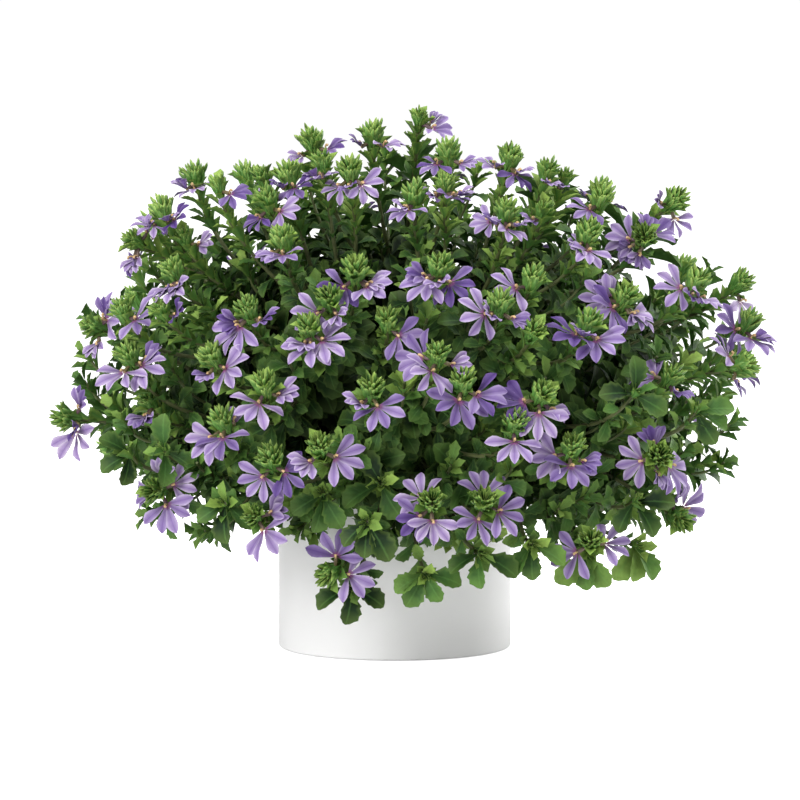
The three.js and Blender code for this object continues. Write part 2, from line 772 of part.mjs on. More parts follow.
// A place in the mound: a share of its level and its upright half sizes, sine of the height, and
// azimuth
function insideMound(round, tall, sine, azimuth) {
  const level = round * Math.sqrt(1 - sine * sine);
  return vec(
    mound.x + mound.wide * level * Math.cos(azimuth),
    mound.deep * level * Math.sin(azimuth) * drawnIn(sine),
    mound.z + mound.tall * tall * sine,
  );
}

// Heads of the back, spread evenly by the golden angle, and closer round the crown
function backSpec(k) {
  const sine = THREE.MathUtils.lerp(back.lowest, back.highest, ((k + 0.5) / back.count) ** 0.85);
  const spread = sine > backSpread.crownFrom ? backSpread.crown : backSpread.low;
  const azimuth = Math.PI * (0.5 + spread * (((k * golden + 0.3) % 1) - 0.5));
  const spec = {
    ...drawnTurns(),
    open: [[4], [], [6], []][k % 4],
    side: [[8], [5], [], [3, 7]][k % 4],
    size: 1,
    front: false,
    bare: k % 2 === 0,
    rows: 2,
    place: insideMound(back.round, back.tall, sine, azimuth),
  };
  spec.aim = aimOf(spec, spec.place);
  return spec;
}

// Leafy twigs inside the mound, spread the same way
function innerSpec(k) {
  const sine = THREE.MathUtils.lerp(inner.lowest, inner.highest, (k + 0.5) / inner.count);
  const azimuth = Math.PI * (0.5 + innerSpread * (((k * golden + 0.3) % 1) - 0.5));
  const depth = inner.depths[k % inner.depths.length];
  const spec = {
    ...drawnTurns(),
    leavesBelow: innerLeavesBelow,
    size: 0.5,
    rows: 1,
    place: insideMound(depth, depth, sine, azimuth),
  };
  spec.aim = aimOf(spec, spec.place);
  return spec;
}

const specs = [
  ...frontHeads.map(specOf),
  ...Array.from({ length: back.count }, (_, k) => backSpec(k)),
  ...leafyTips.map(specOf),
  ...Array.from({ length: inner.count }, (_, k) => innerSpec(k)),
];

const pot = place(makePot());
const soil = place(makeSoil(mainStems.map((stem) => stem.hole)));
for (const stem of mainStems) {
  stem.item = place(stemSolid(stem));
  stem.cells = stemCells(stem);
}

function stemsByNearness(spec) {
  const toPlace = spec.place.clone().sub(growthCentre);
  return [...mainStems].sort((a, b) => a.direction.angleTo(toPlace) - b.direction.angleTo(toPlace));
}

// The free sides of the nearest main stems from which a shoot could reach its place, the
// straightest way first
function waysTo(spec) {
  const ways = [];
  stemsByNearness(spec).slice(0, 4).forEach((stem, rank) => {
    for (const cell of stem.cells) {
      if (stem.growths[cell.key]) continue;
      const toPlace = spec.place.clone().sub(cell.middle);
      const bend = cell.outward.clone().addScaledVector(cell.along, 0.5).angleTo(toPlace);
      if (bend > furthestBend) continue;
      for (const sway of sways) {
        ways.push({ stem, cell, sway, cost: bend + rank * 0.25 + Math.abs(sway) * 0.02
          + toPlace.length() * 0.004 });
      }
    }
  });
  return ways.sort((a, b) => a.cost - b.cost);
}

const touchVolume = 0.02;
const clears = (solid, items, allowed) => metBy(solid, items).every((item) =>
  item === allowed && item.solid.intersect(solid).volume() < touchVolume);

const shoots = [];
for (const spec of specs) {
  for (const { stem, cell, sway } of waysTo(spec)) {
    const shoot = growShoot(spec, stem, cell, sway);
    const solid = aloneSolid(cell.corners, shoot);
    if (!clears(solid, placed, stem.item)) continue;
    shoot.item = place(solid);
    stem.growths[cell.key] = shoot;
    shoots.push(shoot);
    break;
  }
}

// The middle of a shoot's stem at a distance below its tuft
function seatBelow(shoot, distance) {
  const lower = shoot.path.getPointAt(shootStations(shoot).at(-2).share);
  return shoot.base.clone().addScaledVector(lower.sub(shoot.base).normalize(), distance);
}

// Blooms round the stem below each tuft. A bloom may sit a little lower, turned or tipped. Its
// root starts well clear of the stem.
const furthestRoot = shootNeckRadius + gap + rootGapMargin;

function bloomOf(shoot, hour, kind, tweak) {
  const { aim } = shoot;
  const viewer = shoot.front ? toViewer : toViewer.clone().negate();
  const turn = degrees((hour + tweak.hour) * 30);
  const outward = across.clone().multiplyScalar(Math.sin(turn));
  outward.addScaledVector(up, Math.cos(turn));
  const forward = bloomRing.forward - bloomRing.steep * Math.cos(turn) * Math.max(0, aim.z);
  outward.addScaledVector(viewer, forward);
  outward.addScaledVector(aim, -outward.dot(aim)).normalize();
  const seat = seatBelow(shoot, bloomBelowTuft + tweak.down);
  const radial = vec(shoot.place.x, shoot.place.y, 0).normalize();
  const height = THREE.MathUtils.clamp((shoot.place.z - high.from) / high.over, 0, 1);
  const turned = 1 - high.flatter * height;
  const normal = aim.clone().addScaledVector(radial, fanFacing.radial * turned);
  normal.addScaledVector(viewer, fanFacing.viewer * turned).addScaledVector(up, fanFacing.up);
  normal.addScaledVector(outward, fanFacing.outward);
  const centre = outward.clone().addScaledVector(aim, -fanDip).normalize();
  normal.addScaledVector(centre, -normal.dot(centre)).normalize();
  normal.applyAxisAngle(centre, tweak.tilt);
  const hinge = normal.clone().cross(centre);
  normal.applyAxisAngle(hinge, tweak.pitch);
  centre.applyAxisAngle(hinge, tweak.pitch);
  return {
    shoot,
    outward,
    seat,
    root: seat.clone().addScaledVector(outward, furthestRoot),
    throat: seat.clone().addScaledVector(outward, throatFromStem * kind.reach),
    centre,
    normal,
    petals: kind.petals,
    cup: kind.cup,
    size: kind.size * (1 - high.smaller * height),
  };
}

// Ways to set a bloom, the smallest change first
const tweaks = [];
for (const down of [0, 2.5]) {
  for (const hour of [0, 0.5, -0.5, 1, -1]) {
    for (const tilt of [0, 0.25, -0.25, 0.5, -0.5, 0.8, -0.8]) {
      for (const pitch of [0, 0.3, -0.3]) {
        const change = 0.6 * Math.abs(hour) + Math.abs(tilt) + Math.abs(pitch) + 0.06 * down;
        tweaks.push({ down, hour, tilt, pitch, change });
      }
    }
  }
}
tweaks.sort((a, b) => a.change - b.change);

const greens = placed.slice();
const blooms = [];
const probeGrowth = 1.04;
const fewFaces = 8;
const mostFaces = 16;

function placeBloom(shoot, hour, kind) {
  let apart = null;
  let touching = null;
  for (const tweak of tweaks) {
    const bloom = bloomOf(shoot, hour, kind, tweak);
    if (metBy(bloomSolid(bloom, probeGrowth), greens).length > 0) continue;
    Object.assign(bloom, boxed(bloomSolid(bloom)));
    const met = metBy(bloom.solid, blooms);
    if (met.length === 0) {
      apart = apart ?? bloom;
      continue;
    }
    bloom.gain = met.reduce((sum, other) => sum + facesGained(bloom.solid, other.solid), 0);
    if (!touching || bloom.gain < touching.gain) touching = bloom;
    if (touching.gain <= fewFaces) break;
  }
  return touching && (touching.gain <= mostFaces || !apart) ? touching : apart;
}

for (const shoot of shoots.filter((one) => one.open)) {
  const hours = [
    ...shoot.open.map((hour) => [hour, openBloom]),
    ...shoot.side.map((hour) => [hour, closedBloom]),
  ];
  for (const [hour, kind] of hours) {
    const bloom = placeBloom(shoot, hour, kind);
    if (bloom) blooms.push(bloom);
  }
}

// A bloom's tube starts as close to its stem as the gap between two nodes allows
const nearestRoot = 1;
const rootStep = 0.12;
const gapMargin = 0.02;
for (const bloom of blooms) {
  for (let reach = nearestRoot; reach < furthestRoot; reach += rootStep) {
    const root = bloom.seat.clone().addScaledVector(bloom.outward, reach);
    const solid = bloomSolid({ ...bloom, root });
    const gapLeft = solid.minGap(bloom.shoot.item.solid, 2 * gap);
    if (gapLeft < gap + gapMargin || metBy(solid, greens).length > 0) continue;
    Object.assign(bloom, { root, ...boxed(solid) });
    break;
  }
}

// Blooms whose petals touch belong to one group
const groupOf = blooms.map((_, k) => k);
const leader = (k) => (groupOf[k] === k ? k : leader(groupOf[k]));
blooms.forEach((one, k) => {
  blooms.slice(0, k).forEach((other, m) => {
    if (!boxesMeet(one.box, other.box) || one.solid.intersect(other.solid).isEmpty()) return;
    groupOf[leader(k)] = leader(m);
  });
});
const groups = new Map();
blooms.forEach((bloom, k) => groups.set(leader(k), [...(groups.get(leader(k)) ?? []), bloom]));
const byWorth = [...groups.values()].sort((a, b) => b.length - a.length);

const violetNodeCount = nodeLimit - 2 - mainStems.length;
const violetGroups = byWorth.slice(0, violetNodeCount);
const greenGroups = byWorth.slice(violetNodeCount);

// Leaves. A leaf stands out of one side of its shoot's leaf band, lifted or drooping.
function sideDirection(shoot, band, side) {
  const corners = bandCorners(shoot, band, side);
  const middle = vec(0, 0, 0);
  corners.forEach((corner) => middle.addScaledVector(corner, 0.25));
  const axis = shoot.path.getTangentAt(shoot.bands[band]);
  const outward = corners[1].clone().sub(corners[0]).cross(axis).normalize();
  return { corners, middle, axis, outward };
}

function leafAt(shoot, band, side, lift, length) {
  const { corners, middle, axis, outward } = sideDirection(shoot, band, side);
  const direction = outward.clone().multiplyScalar(Math.cos(lift));
  direction.addScaledVector(axis, Math.sin(lift)).normalize();
  const normal = axis.clone().addScaledVector(direction, -axis.dot(direction)).normalize();
  const profile = shoot.bands.length > 1 ? plainSide : toothedSide;
  return { corners, leaf: leafShape(middle, direction, normal, length, shoot.droop, profile) };
}

const everything = [...placed, ...blooms];
const clearOf = (shoot, probe) => metBy(probe, everything).every((item) => item === shoot.item);

const leafLifts = [0.35, 0.7, 0, 1, -0.3, 1.2];
const leafShares = [1, 0.8];

function tryLeaf(shoot, band, side, length) {
  for (const lift of leafLifts) {
    for (const share of leafShares) {
      const { corners, leaf } = leafAt(shoot, band, side, lift, length * share);
      if (!clearOf(shoot, leafProbe(corners, leaf))) continue;
      shoot.leaves[band][side] = leaf;
      everything.push(boxed(leafProbe(corners, leaf)));
      return true;
    }
  }
  return false;
}

function trySmallLeaf(shoot, side) {
  const { corners, middle, axis, outward } = sideDirection(shoot, 0, side);
  const tip = middle.addScaledVector(outward, smallLeafLength * Math.cos(smallLeafLift));
  tip.addScaledVector(axis, smallLeafLength * Math.sin(smallLeafLift));
  const probe = aloneSolid(corners, tip);
  if (!clearOf(shoot, probe)) return;
  shoot.leaves[0][side] = tip;
  everything.push(boxed(probe));
}

const sides = Array.from({ length: stemSides }, (_, side) => side);

// The leaves of a leafy tip point to the wanted clock hours
function leavesToward(shoot) {
  for (const hour of shoot.leafHours) {
    const wanted = clockDirection(hour, 0.4);
    const nearness = (side) => -sideDirection(shoot, 0, side).outward.dot(wanted);
    const free = sides.filter((side) => !shoot.leaves[0][side]);
    if (free.length === 0) break;
    free.sort((p, q) => nearness(p) - nearness(q));
    tryLeaf(shoot, 0, free[0], tipLeafLength);
  }
}

// One large leaf and small ones
function mixedLeaves(shoot, start) {
  let leafWanted = true;
  for (const k of sides) {
    const side = (start + k) % stemSides;
    if (leafWanted && tryLeaf(shoot, 0, side, leafLength * between(0.8, 1.15))) {
      leafWanted = false;
      continue;
    }
    trySmallLeaf(shoot, side);
  }
}

for (const shoot of shoots) {
  shoot.droop = between(0.2, 0.5);
  if (shoot.bare) continue;
  const start = Math.floor(draw() * stemSides);
  if (shoot.leafHours) leavesToward(shoot);
  else if (shoot.open) mixedLeaves(shoot, start);
  else shoot.bands.forEach((_, band) =>
    sides.forEach((side) => tryLeaf(shoot, band, side, innerLeafLength)));
}

// Everything green that grows from one main stem is one body
const group = new THREE.Group();

function add(name, solid, material) {
  const mesh = new THREE.Mesh(geometryOf(solid), material);
  mesh.name = name;
  group.add(mesh);
}

const satinWhite = new THREE.MeshStandardMaterial({ color: 0xeceae8, roughness: 0.38 });
const darkSoil = new THREE.MeshStandardMaterial({ color: 0x2a1e16, roughness: 0.95 });
const leafGreen = new THREE.MeshStandardMaterial({ color: 0x4d7a2c, roughness: 0.6 });
const lilac = new THREE.MeshStandardMaterial({ color: 0xa587d7, roughness: 0.55 });

add('pot', pot.solid, satinWhite);
add('soil', soil.solid, darkSoil);
for (const stem of mainStems) {
  const parts = [stemSolid(stem)];
  for (const list of greenGroups.filter((one) => one[0].shoot.stem === stem)) {
    parts.push(bloomSolid({ ...list[0], root: list[0].shoot.base }));
    parts.push(...list.slice(1).map((bloom) => bloom.solid));
  }
  add(stem.name, wholeBody(wasm.Manifold.union(parts)), leafGreen);
}
violetGroups.forEach((list, k) => {
  const solid = wasm.Manifold.union(list.map((bloom) => bloom.solid));
  add(`blooms_${k + 1}`, wholeBody(solid), lilac);
});

export default group;
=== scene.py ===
import math
import random

import bmesh
import bpy
import numpy as np
from mathutils import Matrix, Vector


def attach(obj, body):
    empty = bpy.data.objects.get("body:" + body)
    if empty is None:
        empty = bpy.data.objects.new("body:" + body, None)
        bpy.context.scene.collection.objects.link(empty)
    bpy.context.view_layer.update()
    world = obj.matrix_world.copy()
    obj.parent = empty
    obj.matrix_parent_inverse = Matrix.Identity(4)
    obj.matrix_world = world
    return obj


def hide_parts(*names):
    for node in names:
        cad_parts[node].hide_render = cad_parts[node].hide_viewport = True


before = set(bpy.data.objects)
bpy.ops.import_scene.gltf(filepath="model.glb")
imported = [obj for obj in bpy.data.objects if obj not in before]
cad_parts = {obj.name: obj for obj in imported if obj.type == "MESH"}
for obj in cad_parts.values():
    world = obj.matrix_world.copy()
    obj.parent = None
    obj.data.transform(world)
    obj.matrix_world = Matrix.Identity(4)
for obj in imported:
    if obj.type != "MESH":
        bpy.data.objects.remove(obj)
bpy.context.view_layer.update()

# Camera. A long lens looks slightly down at the middle of the flowering plant, so that it shows
# with hardly any perspective, as in a catalogue picture.
PICTURE_PIXELS = 800
EYE_DISTANCE = 2.5
EYE_TILT = math.radians(4.5)
FOCAL_PIXELS = 4475
SENSOR_WIDTH = 36.0
FURTHEST_SEEN = 20.0
LOOK_AT = Vector((0.003, 0.0, 0.138))


def in_scene(name, data):
    """A new object in the scene."""
    thing = bpy.data.objects.new(name, data)
    bpy.context.scene.collection.objects.link(thing)
    return thing


camera = in_scene("camera", bpy.data.cameras.new("camera"))
camera.data.sensor_width = SENSOR_WIDTH
camera.data.lens = SENSOR_WIDTH * FOCAL_PIXELS / PICTURE_PIXELS
camera.data.clip_end = FURTHEST_SEEN
camera.location = LOOK_AT + EYE_DISTANCE * Vector((0, -math.cos(EYE_TILT), math.sin(EYE_TILT)))
camera.rotation_euler = (math.pi / 2 - EYE_TILT, 0, 0)
bpy.context.scene.camera = camera


# Pot. A plain round planter of white satin plastic, moulded in one piece with a soft bottom edge
# and a rounded rim.
POT_RADIUS = 0.065
POT_HEIGHT = 0.1
POT_WALL = 0.004
POT_FLOOR = 0.005
POT_EDGE = 0.0015
POT_SIDES = 128
EDGE_STEPS = 6


def rounded_edge(across, up, start, end):
    """A rounded edge of the profile: points round a place, between two angles in degrees."""
    angles = np.radians(np.linspace(start, end, EDGE_STEPS))
    return [(across + POT_EDGE * math.cos(a), up + POT_EDGE * math.sin(a)) for a in angles]


def mesh_of(name, form):
    """The mesh of a form, its faces turned outward."""
    bmesh.ops.recalc_face_normals(form, faces=form.faces)
    mesh = bpy.data.meshes.new(name)
    form.to_mesh(mesh)
    form.free()
    return mesh


def skin_between(form, rings, sides):
    """Smooth faces between neighbouring rings of points, of which some may be a single point."""
    for low, high in zip(rings, rings[1:]):
        for k in range(sides):
            after = (k + 1) % sides
            corners = [low[k % len(low)], low[after % len(low)]]
            corners += [high[after % len(high)], high[k % len(high)]]
            form.faces.new(list(dict.fromkeys(corners))).smooth = True


def turned(name, profile):
    """A closed shape turned from a profile of (radius, height) that starts and ends on the axis."""
    form = bmesh.new()
    turns = [2 * math.pi * k / POT_SIDES for k in range(POT_SIDES)]
    rings = []
    for radius, height in profile:
        spots = [(radius * math.cos(t), radius * math.sin(t), height) for t in turns]
        rings.append([form.verts.new(spot) for spot in (spots if radius else spots[:1])])
    skin_between(form, rings, POT_SIDES)
    return mesh_of(name, form)


def piece_of(name, mesh, slot, *nodes):
    """A finished piece that goes with the plant and stands for the CAD nodes named."""
    piece = in_scene(name, mesh)
    if nodes:
        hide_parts(*nodes)
    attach(piece, "root")
    return piece


def new_material(name, roughness):
    """A material, with its tree and its Principled shader."""
    material = bpy.data.materials.new(name)
    material.use_nodes = True
    shader = material.node_tree.nodes["Principled BSDF"]
    shader.inputs["Roughness"].default_value = roughness
    return material, material.node_tree, shader


def feed(tree, node, inputs):
    """Gives a node its inputs: numbers, colours and the outputs of other nodes."""
    for key, value in inputs.items():
        if isinstance(value, bpy.types.NodeSocket):
            tree.links.new(value, node.inputs[key])
        else:
            node.inputs[key].default_value = (*value, 1.0) if isinstance(value, tuple) else value


def add_node(tree, kind, inputs, **settings):
    """A new node of a tree, with its settings and its inputs."""
    node = tree.nodes.new(kind)
    for key, value in settings.items():
        setattr(node, key, value)
    feed(tree, node, inputs)
    return node


def noise_on(tree, scale, detail=3.0):
    """Noise that stays with the piece."""
    place = add_node(tree, "ShaderNodeTexCoord", {}).outputs["Object"]
    inputs = {"Vector": place, "Scale": scale, "Detail": detail}
    return add_node(tree, "ShaderNodeTexNoise", inputs).outputs["Fac"]


def blend(tree, factor, first, second, kind="MIX"):
    """A blend of two colours."""
    inputs = {"Factor": factor, "A": first, "B": second}
    return add_node(tree, "ShaderNodeMix", inputs, data_type="RGBA", blend_type=kind).outputs["Result"]


def remapped(tree, value, low, high, to_low, to_high):
    """A value moved from one range to another and kept inside it."""
    inputs = {"Value": value, "From Min": low, "From Max": high, "To Min": to_low, "To Max": to_high}
    return add_node(tree, "ShaderNodeMapRange", inputs).outputs["Result"]


def new_tree(name, kind, inputs, outputs):
    """A tree of nodes with named sockets: the tree, what it is given, and its output node."""
    tree = bpy.data.node_groups.new(name, kind)
    for in_out, sockets in (("INPUT", inputs), ("OUTPUT", outputs)):
        for label, value_kind in sockets.items():
            tree.interface.new_socket(label, in_out=in_out, socket_type="NodeSocket" + value_kind)
    return tree, tree.nodes.new("NodeGroupInput").outputs, tree.nodes.new("NodeGroupOutput")


def applied(tree, shared, **values):
    """A shared effect inside a material, as its outputs."""
    return add_node(tree, "ShaderNodeGroup", values, node_tree=shared).outputs


def uneven_colour_effect():
    """A colour that darkens in soft patches."""
    inputs = {"Color": "Color", "Scale": "Float", "Darkest": "Float"}
    tree, given, out = new_tree("uneven colour", "ShaderNodeTree", inputs, {"Color": "Color"})
    shade = remapped(tree, noise_on(tree, given["Scale"]), 0.3, 0.7, given["Darkest"], 1.0)
    feed(tree, out, {"Color": blend(tree, 1.0, given["Color"], shade, "MULTIPLY")})
    return tree


def fine_grain_effect():
    """Fine relief, with its depth in metres."""
    inputs = {"Scale": "Float", "Depth": "Float", "Strength": "Float"}
    tree, given, out = new_tree("fine grain", "ShaderNodeTree", inputs, {"Normal": "Vector"})
    height = noise_on(tree, given["Scale"])
    bump = {"Height": height, "Distance": given["Depth"], "Strength": given["Strength"]}
    feed(tree, out, {"Normal": add_node(tree, "ShaderNodeBump", bump).outputs["Normal"]})
    return tree


uneven_colour = uneven_colour_effect()
fine_grain = fine_grain_effect()


def satin_white_plastic():
    """White moulded plastic: an even satin with faint flow marks and a little handling dust."""
    material, tree, shader = new_material("satin white plastic", 0.36)
    flow = applied(tree, uneven_colour, Color=(0.83, 0.825, 0.825), Scale=9.0, Darkest=0.965)
    dust = remapped(tree, noise_on(tree, 38.0), 0.35, 0.75, 0.32, 0.42)
    grain = applied(tree, fine_grain, Scale=900.0, Depth=0.00002, Strength=0.4)
    feed(tree, shader, {"Base Color": flow["Color"], "Roughness": dust, "Normal": grain["Normal"]})
    return material


pot_inner = POT_RADIUS - POT_WALL
pot_profile = [(0, 0)]
pot_profile += rounded_edge(POT_RADIUS - POT_EDGE, POT_EDGE, -90, 0)
pot_profile += [(POT_RADIUS, POT_HEIGHT * share) for share in (0.25, 0.5, 0.75)]
pot_profile += rounded_edge(POT_RADIUS - POT_EDGE, POT_HEIGHT - POT_EDGE, 0, 90)
pot_profile += rounded_edge(pot_inner + POT_EDGE, POT_HEIGHT - POT_EDGE, 90, 180)
pot_profile += [(pot_inner, POT_HEIGHT * 0.5), (pot_inner, POT_FLOOR), (0, POT_FLOOR)]
pot_mesh = turned("pot_shell", pot_profile)
pot_mesh.materials.append(satin_white_plastic())
piece_of("pot_shell", pot_mesh, "pot", "pot")


# Soil. Dark peat fills the pot to a little below the rim, crumbly on top, with loose crumbs and
# bits of bark lying on it.
RIM_ABOVE_SOIL = 0.012
SOIL_TOP = POT_HEIGHT - RIM_ABOVE_SOIL
SOIL_RISE = 0.003
SOIL_GAP = 0.0006
SOIL_RINGS = 22
SOIL_SIDES = 72
LUMP = 0.00045
LUMPS_ALONG_X = 610
LUMPS_ALONG_Y = 540
SLANTED_LUMPS = 1180
CRUMB_COUNT = 620
CRUMB_SIZE = 0.0016
CRUMB_SIZES = (0.35, 1.1)
CRUMB_LIFT = 0.0002
CRUMB_MARGIN = 0.004
FULL_TURN = 6.28


def ramp(tree, source, stops):
    """Colours along a value from 0 to 1, each at its position."""
    node = add_node(tree, "ShaderNodeValToRGB", {"Fac": source})
    band = node.color_ramp.elements
    while len(band) < len(stops):
        band.new(0.5)
    for element, (position, colour) in zip(band, stops):
        element.position = position
        element.color = (*colour, 1.0)
    return node.outputs["Color"]


def potting_soil_finish():
    """Peat: near black brown with paler fibres, fully matt."""
    material, tree, shader = new_material("potting soil", 0.95)
    fibres = ramp(
        tree, noise_on(tree, 420.0, 5.0),
        [(0.3, (0.010, 0.006, 0.004)), (0.55, (0.030, 0.019, 0.012)), (0.78, (0.085, 0.055, 0.032))],
    )
    grain = applied(tree, fine_grain, Scale=700.0, Depth=0.0006, Strength=1.0)
    feed(tree, shader, {"Base Color": fibres, "Normal": grain["Normal"]})
    return material


def soil_height(x, y):
    """The domed top of the soil, with uneven lumps that end at the pot's wall."""
    share = math.hypot(x, y) / pot_inner
    lumps = math.sin(x * LUMPS_ALONG_X + 1.3) * math.sin(y * LUMPS_ALONG_Y + 0.4)
    lumps += math.sin((x + y) * SLANTED_LUMPS)
    return SOIL_TOP + SOIL_RISE * (1 - share * share) + LUMP * lumps * (1 - share**6)


def soil_plug():
    """The plug of soil: rings of its top surface, closed by its side and underside."""
    form = bmesh.new()
    rings = [[form.verts.new((0, 0, soil_height(0, 0)))]]
    for ring in range(1, SOIL_RINGS + 1):
        reach = (pot_inner - SOIL_GAP) * ring / SOIL_RINGS
        turns = [2 * math.pi * (k + 0.5 * (ring % 2)) / SOIL_SIDES for k in range(SOIL_SIDES)]
        spots = [(reach * math.cos(t), reach * math.sin(t)) for t in turns]
        rings.append([form.verts.new((x, y, soil_height(x, y))) for x, y in spots])
    foot = [form.verts.new((v.co.x, v.co.y, POT_FLOOR + SOIL_GAP)) for v in rings[-1]]
    skin_between(form, [*rings, foot], SOIL_SIDES)
    form.faces.new(foot).smooth = True
    return mesh_of("soil_plug", form)


def held(tree, name, kind):
    """What each point of the start mesh holds under a name."""
    read = add_node(tree, "GeometryNodeInputNamedAttribute", {"Name": name}, data_type=kind)
    return read.outputs["Attribute"]


def finish_tree(tree, geometry, finish, out):
    """The last steps of every tree: real geometry with its material."""
    real = add_node(tree, "GeometryNodeRealizeInstances", {0: geometry}).outputs[0]
    paint = {"Geometry": real, "Material": finish}
    feed(tree, out, {0: add_node(tree, "GeometryNodeSetMaterial", paint).outputs[0]})


def math_on(tree, operation, first, second=0.0):
    """A sum of one or two values."""
    return add_node(tree, "ShaderNodeMath", {0: first, 1: second}, operation=operation).outputs[0]


def strewing_tree():
    """Puts a copy of one small form on every point, turned and sized as the point says."""
    inputs = {"Points": "Geometry", "Form": "Object", "Size spread": "Float", "Seed": "Int"}
    tree, given, out = new_tree(
        "strew copies", "GeometryNodeTree", {**inputs, "Finish": "Material"}, {"Copies": "Geometry"}
    )
    form = add_node(tree, "GeometryNodeObjectInfo", {"Object": given["Form"]})
    least = math_on(tree, "SUBTRACT", 1.0, given["Size spread"])
    most = math_on(tree, "ADD", 1.0, given["Size spread"])
    chance = {"Min": least, "Max": most, "Seed": given["Seed"]}
    spread = add_node(tree, "FunctionNodeRandomValue", chance).outputs["Value"]
    sized = {0: held(tree, "size", "FLOAT_VECTOR"), "Scale": spread}
    size = add_node(tree, "ShaderNodeVectorMath", sized, operation="SCALE").outputs["Vector"]
    turn = add_node(tree, "FunctionNodeEulerToRotation", {0: held(tree, "turn", "FLOAT_VECTOR")})
    copies = add_node(tree, "GeometryNodeInstanceOnPoints", {
        "Points": given["Points"], "Instance": form.outputs["Geometry"],
        "Rotation": turn.outputs[0], "Scale": size,
    })
    finish_tree(tree, copies.outputs[0], given["Finish"], out)
    return tree


def made_by(tree, name, start, values):
    """The mesh that a tree of geometry nodes makes from a start mesh."""
    maker = in_scene(name, start)
    modifier = maker.modifiers.new("maker", "NODES")
    modifier.node_group = tree
    sockets = {item.name: item.identifier for item in tree.interface.items_tree}
    for key, value in values.items():
        modifier[sockets[key]] = value
    graph = bpy.context.evaluated_depsgraph_get()
    mesh = bpy.data.meshes.new_from_object(maker.evaluated_get(graph), depsgraph=graph)
    maker.modifiers.clear()
    bpy.data.objects.remove(maker)
    return mesh


strew_copies = strewing_tree()


def hold(mesh, name, kind, values):
    """Gives each point of a mesh a number or a vector under a name."""
    layer = mesh.attributes.new(name, kind, "POINT")
    layer.data.foreach_set("vector" if kind == "FLOAT_VECTOR" else "value", values)


def strewn(name, form, spots, finish, size_spread, seed):
    """Copies of one form on spots, each (place, turning matrix, size, tint), as one mesh."""
    points = bpy.data.meshes.new(name)
    points.from_pydata([tuple(spot[0]) for spot in spots], [], [])
    hold(points, "turn", "FLOAT_VECTOR", [a for spot in spots for a in spot[1].to_euler()])
    hold(points, "size", "FLOAT_VECTOR", [a for spot in spots for a in spot[2]])
    hold(points, "tint", "FLOAT", [spot[3] for spot in spots])
    model = bpy.data.objects.new(name + "_form", form)
    values = {"Form": model, "Size spread": size_spread, "Seed": seed, "Finish": finish}
    mesh = made_by(strew_copies, name, points, values)
    bpy.data.objects.remove(model)
    return mesh


def crumb_form():
    """One crumb: a small uneven lump."""
    form = bmesh.new()
    bmesh.ops.create_icosphere(form, subdivisions=1, radius=CRUMB_SIZE)
    shape = random.Random(11)
    for vert in form.verts:
        vert.co *= shape.uniform(0.6, 1.15)
    return mesh_of("crumb", form)


def crumb_spots():
    """Crumbs lie all over the soil, flattened and turned any way."""
    lie = random.Random(12)
    spots = []
    for _ in range(CRUMB_COUNT):
        reach = (pot_inner - CRUMB_MARGIN) * math.sqrt(lie.random())
        turn = lie.uniform(0, 2 * math.pi)
        x, y = reach * math.cos(turn), reach * math.sin(turn)
        size = lie.uniform(*CRUMB_SIZES)
        spin = Matrix.Rotation(lie.uniform(0, FULL_TURN), 3, "Z")
        spin = spin @ Matrix.Rotation(lie.uniform(-0.5, 0.5), 3, "X")
        shape = (size * lie.uniform(0.8, 1.7), size, size * lie.uniform(0.5, 0.9))
        spots.append(((x, y, soil_height(x, y) + CRUMB_LIFT), spin, shape, lie.random()))
    return spots


soil_finish = potting_soil_finish()
soil_mesh = soil_plug()
soil_mesh.materials.append(soil_finish)
piece_of("soil_plug", soil_mesh, "soil", "soil")
crumb_mesh = strewn("soil_crumbs", crumb_form(), crumb_spots(), soil_finish, 0.25, 3)
piece_of("soil_crumbs", crumb_mesh, "soil", "soil")


# Main stems. Round living stems rise from the soil. Low ones arch over the rim, steeper ones and
# an upright one carry the middle of the mound. Here are their paths, which the shoots leave.
COURSE_STEPS = 8
STEM_KINDS = [
    {"count": 7, "first": -90, "steep": 2,
     "course": [(0.038, -0.02), (0.038, -0.008), (0.0384, 0.006), (0.058, 0.03), (0.092, 0.04)]},
    {"count": 5, "first": -54, "steep": 42,
     "course": [(0.018, -0.02), (0.018, -0.008), (0.0183, 0.008), (0.034, 0.052), (0.068, 0.098)]},
    {"count": 1, "first": -56, "steep": 88,
     "course": [(0, -0.02), (0, -0.008), (0, 0.008), (0.002, 0.06), (0.0072, 0.125)]},
]


def smooth_course(points):
    """A smooth path through points, as a list of places."""
    ends = [points[0] * 2 - points[1], *points, points[-1] * 2 - points[-2]]
    places = []
    for k in range(1, len(ends) - 2):
        a, b, c, d = ends[k - 1 : k + 3]
        for step in range(COURSE_STEPS):
            t = step / COURSE_STEPS
            second = (2 * a - 5 * b + 4 * c - d) * t**2
            third = (3 * b - a - 3 * c + d) * t**3
            places.append(0.5 * (2 * b + (c - a) * t + second + third))
    return places + [points[-1]]


def round_from(azimuth, reach, height):
    """A place or direction round the upright axis."""
    return Vector((reach * math.cos(azimuth), reach * math.sin(azimuth), height))


def stems_of(kind):
    """The main stems of one kind, evenly round the pot: the way their heads lie and their paths.
    Angles are in degrees. A course gives reaches, with heights above the soil."""
    steep = math.radians(kind["steep"])
    stems = []
    for k in range(kind["count"]):
        azimuth = math.radians(kind["first"] + 360 * k / kind["count"])
        points = [round_from(azimuth, reach, SOIL_TOP + height) for reach, height in kind["course"]]
        direction = round_from(azimuth, math.cos(steep), math.sin(steep))
        stems.append({"direction": direction, "path": smooth_course(points)})
    return stems


main_stems = [stem for kind in STEM_KINDS for stem in stems_of(kind)]


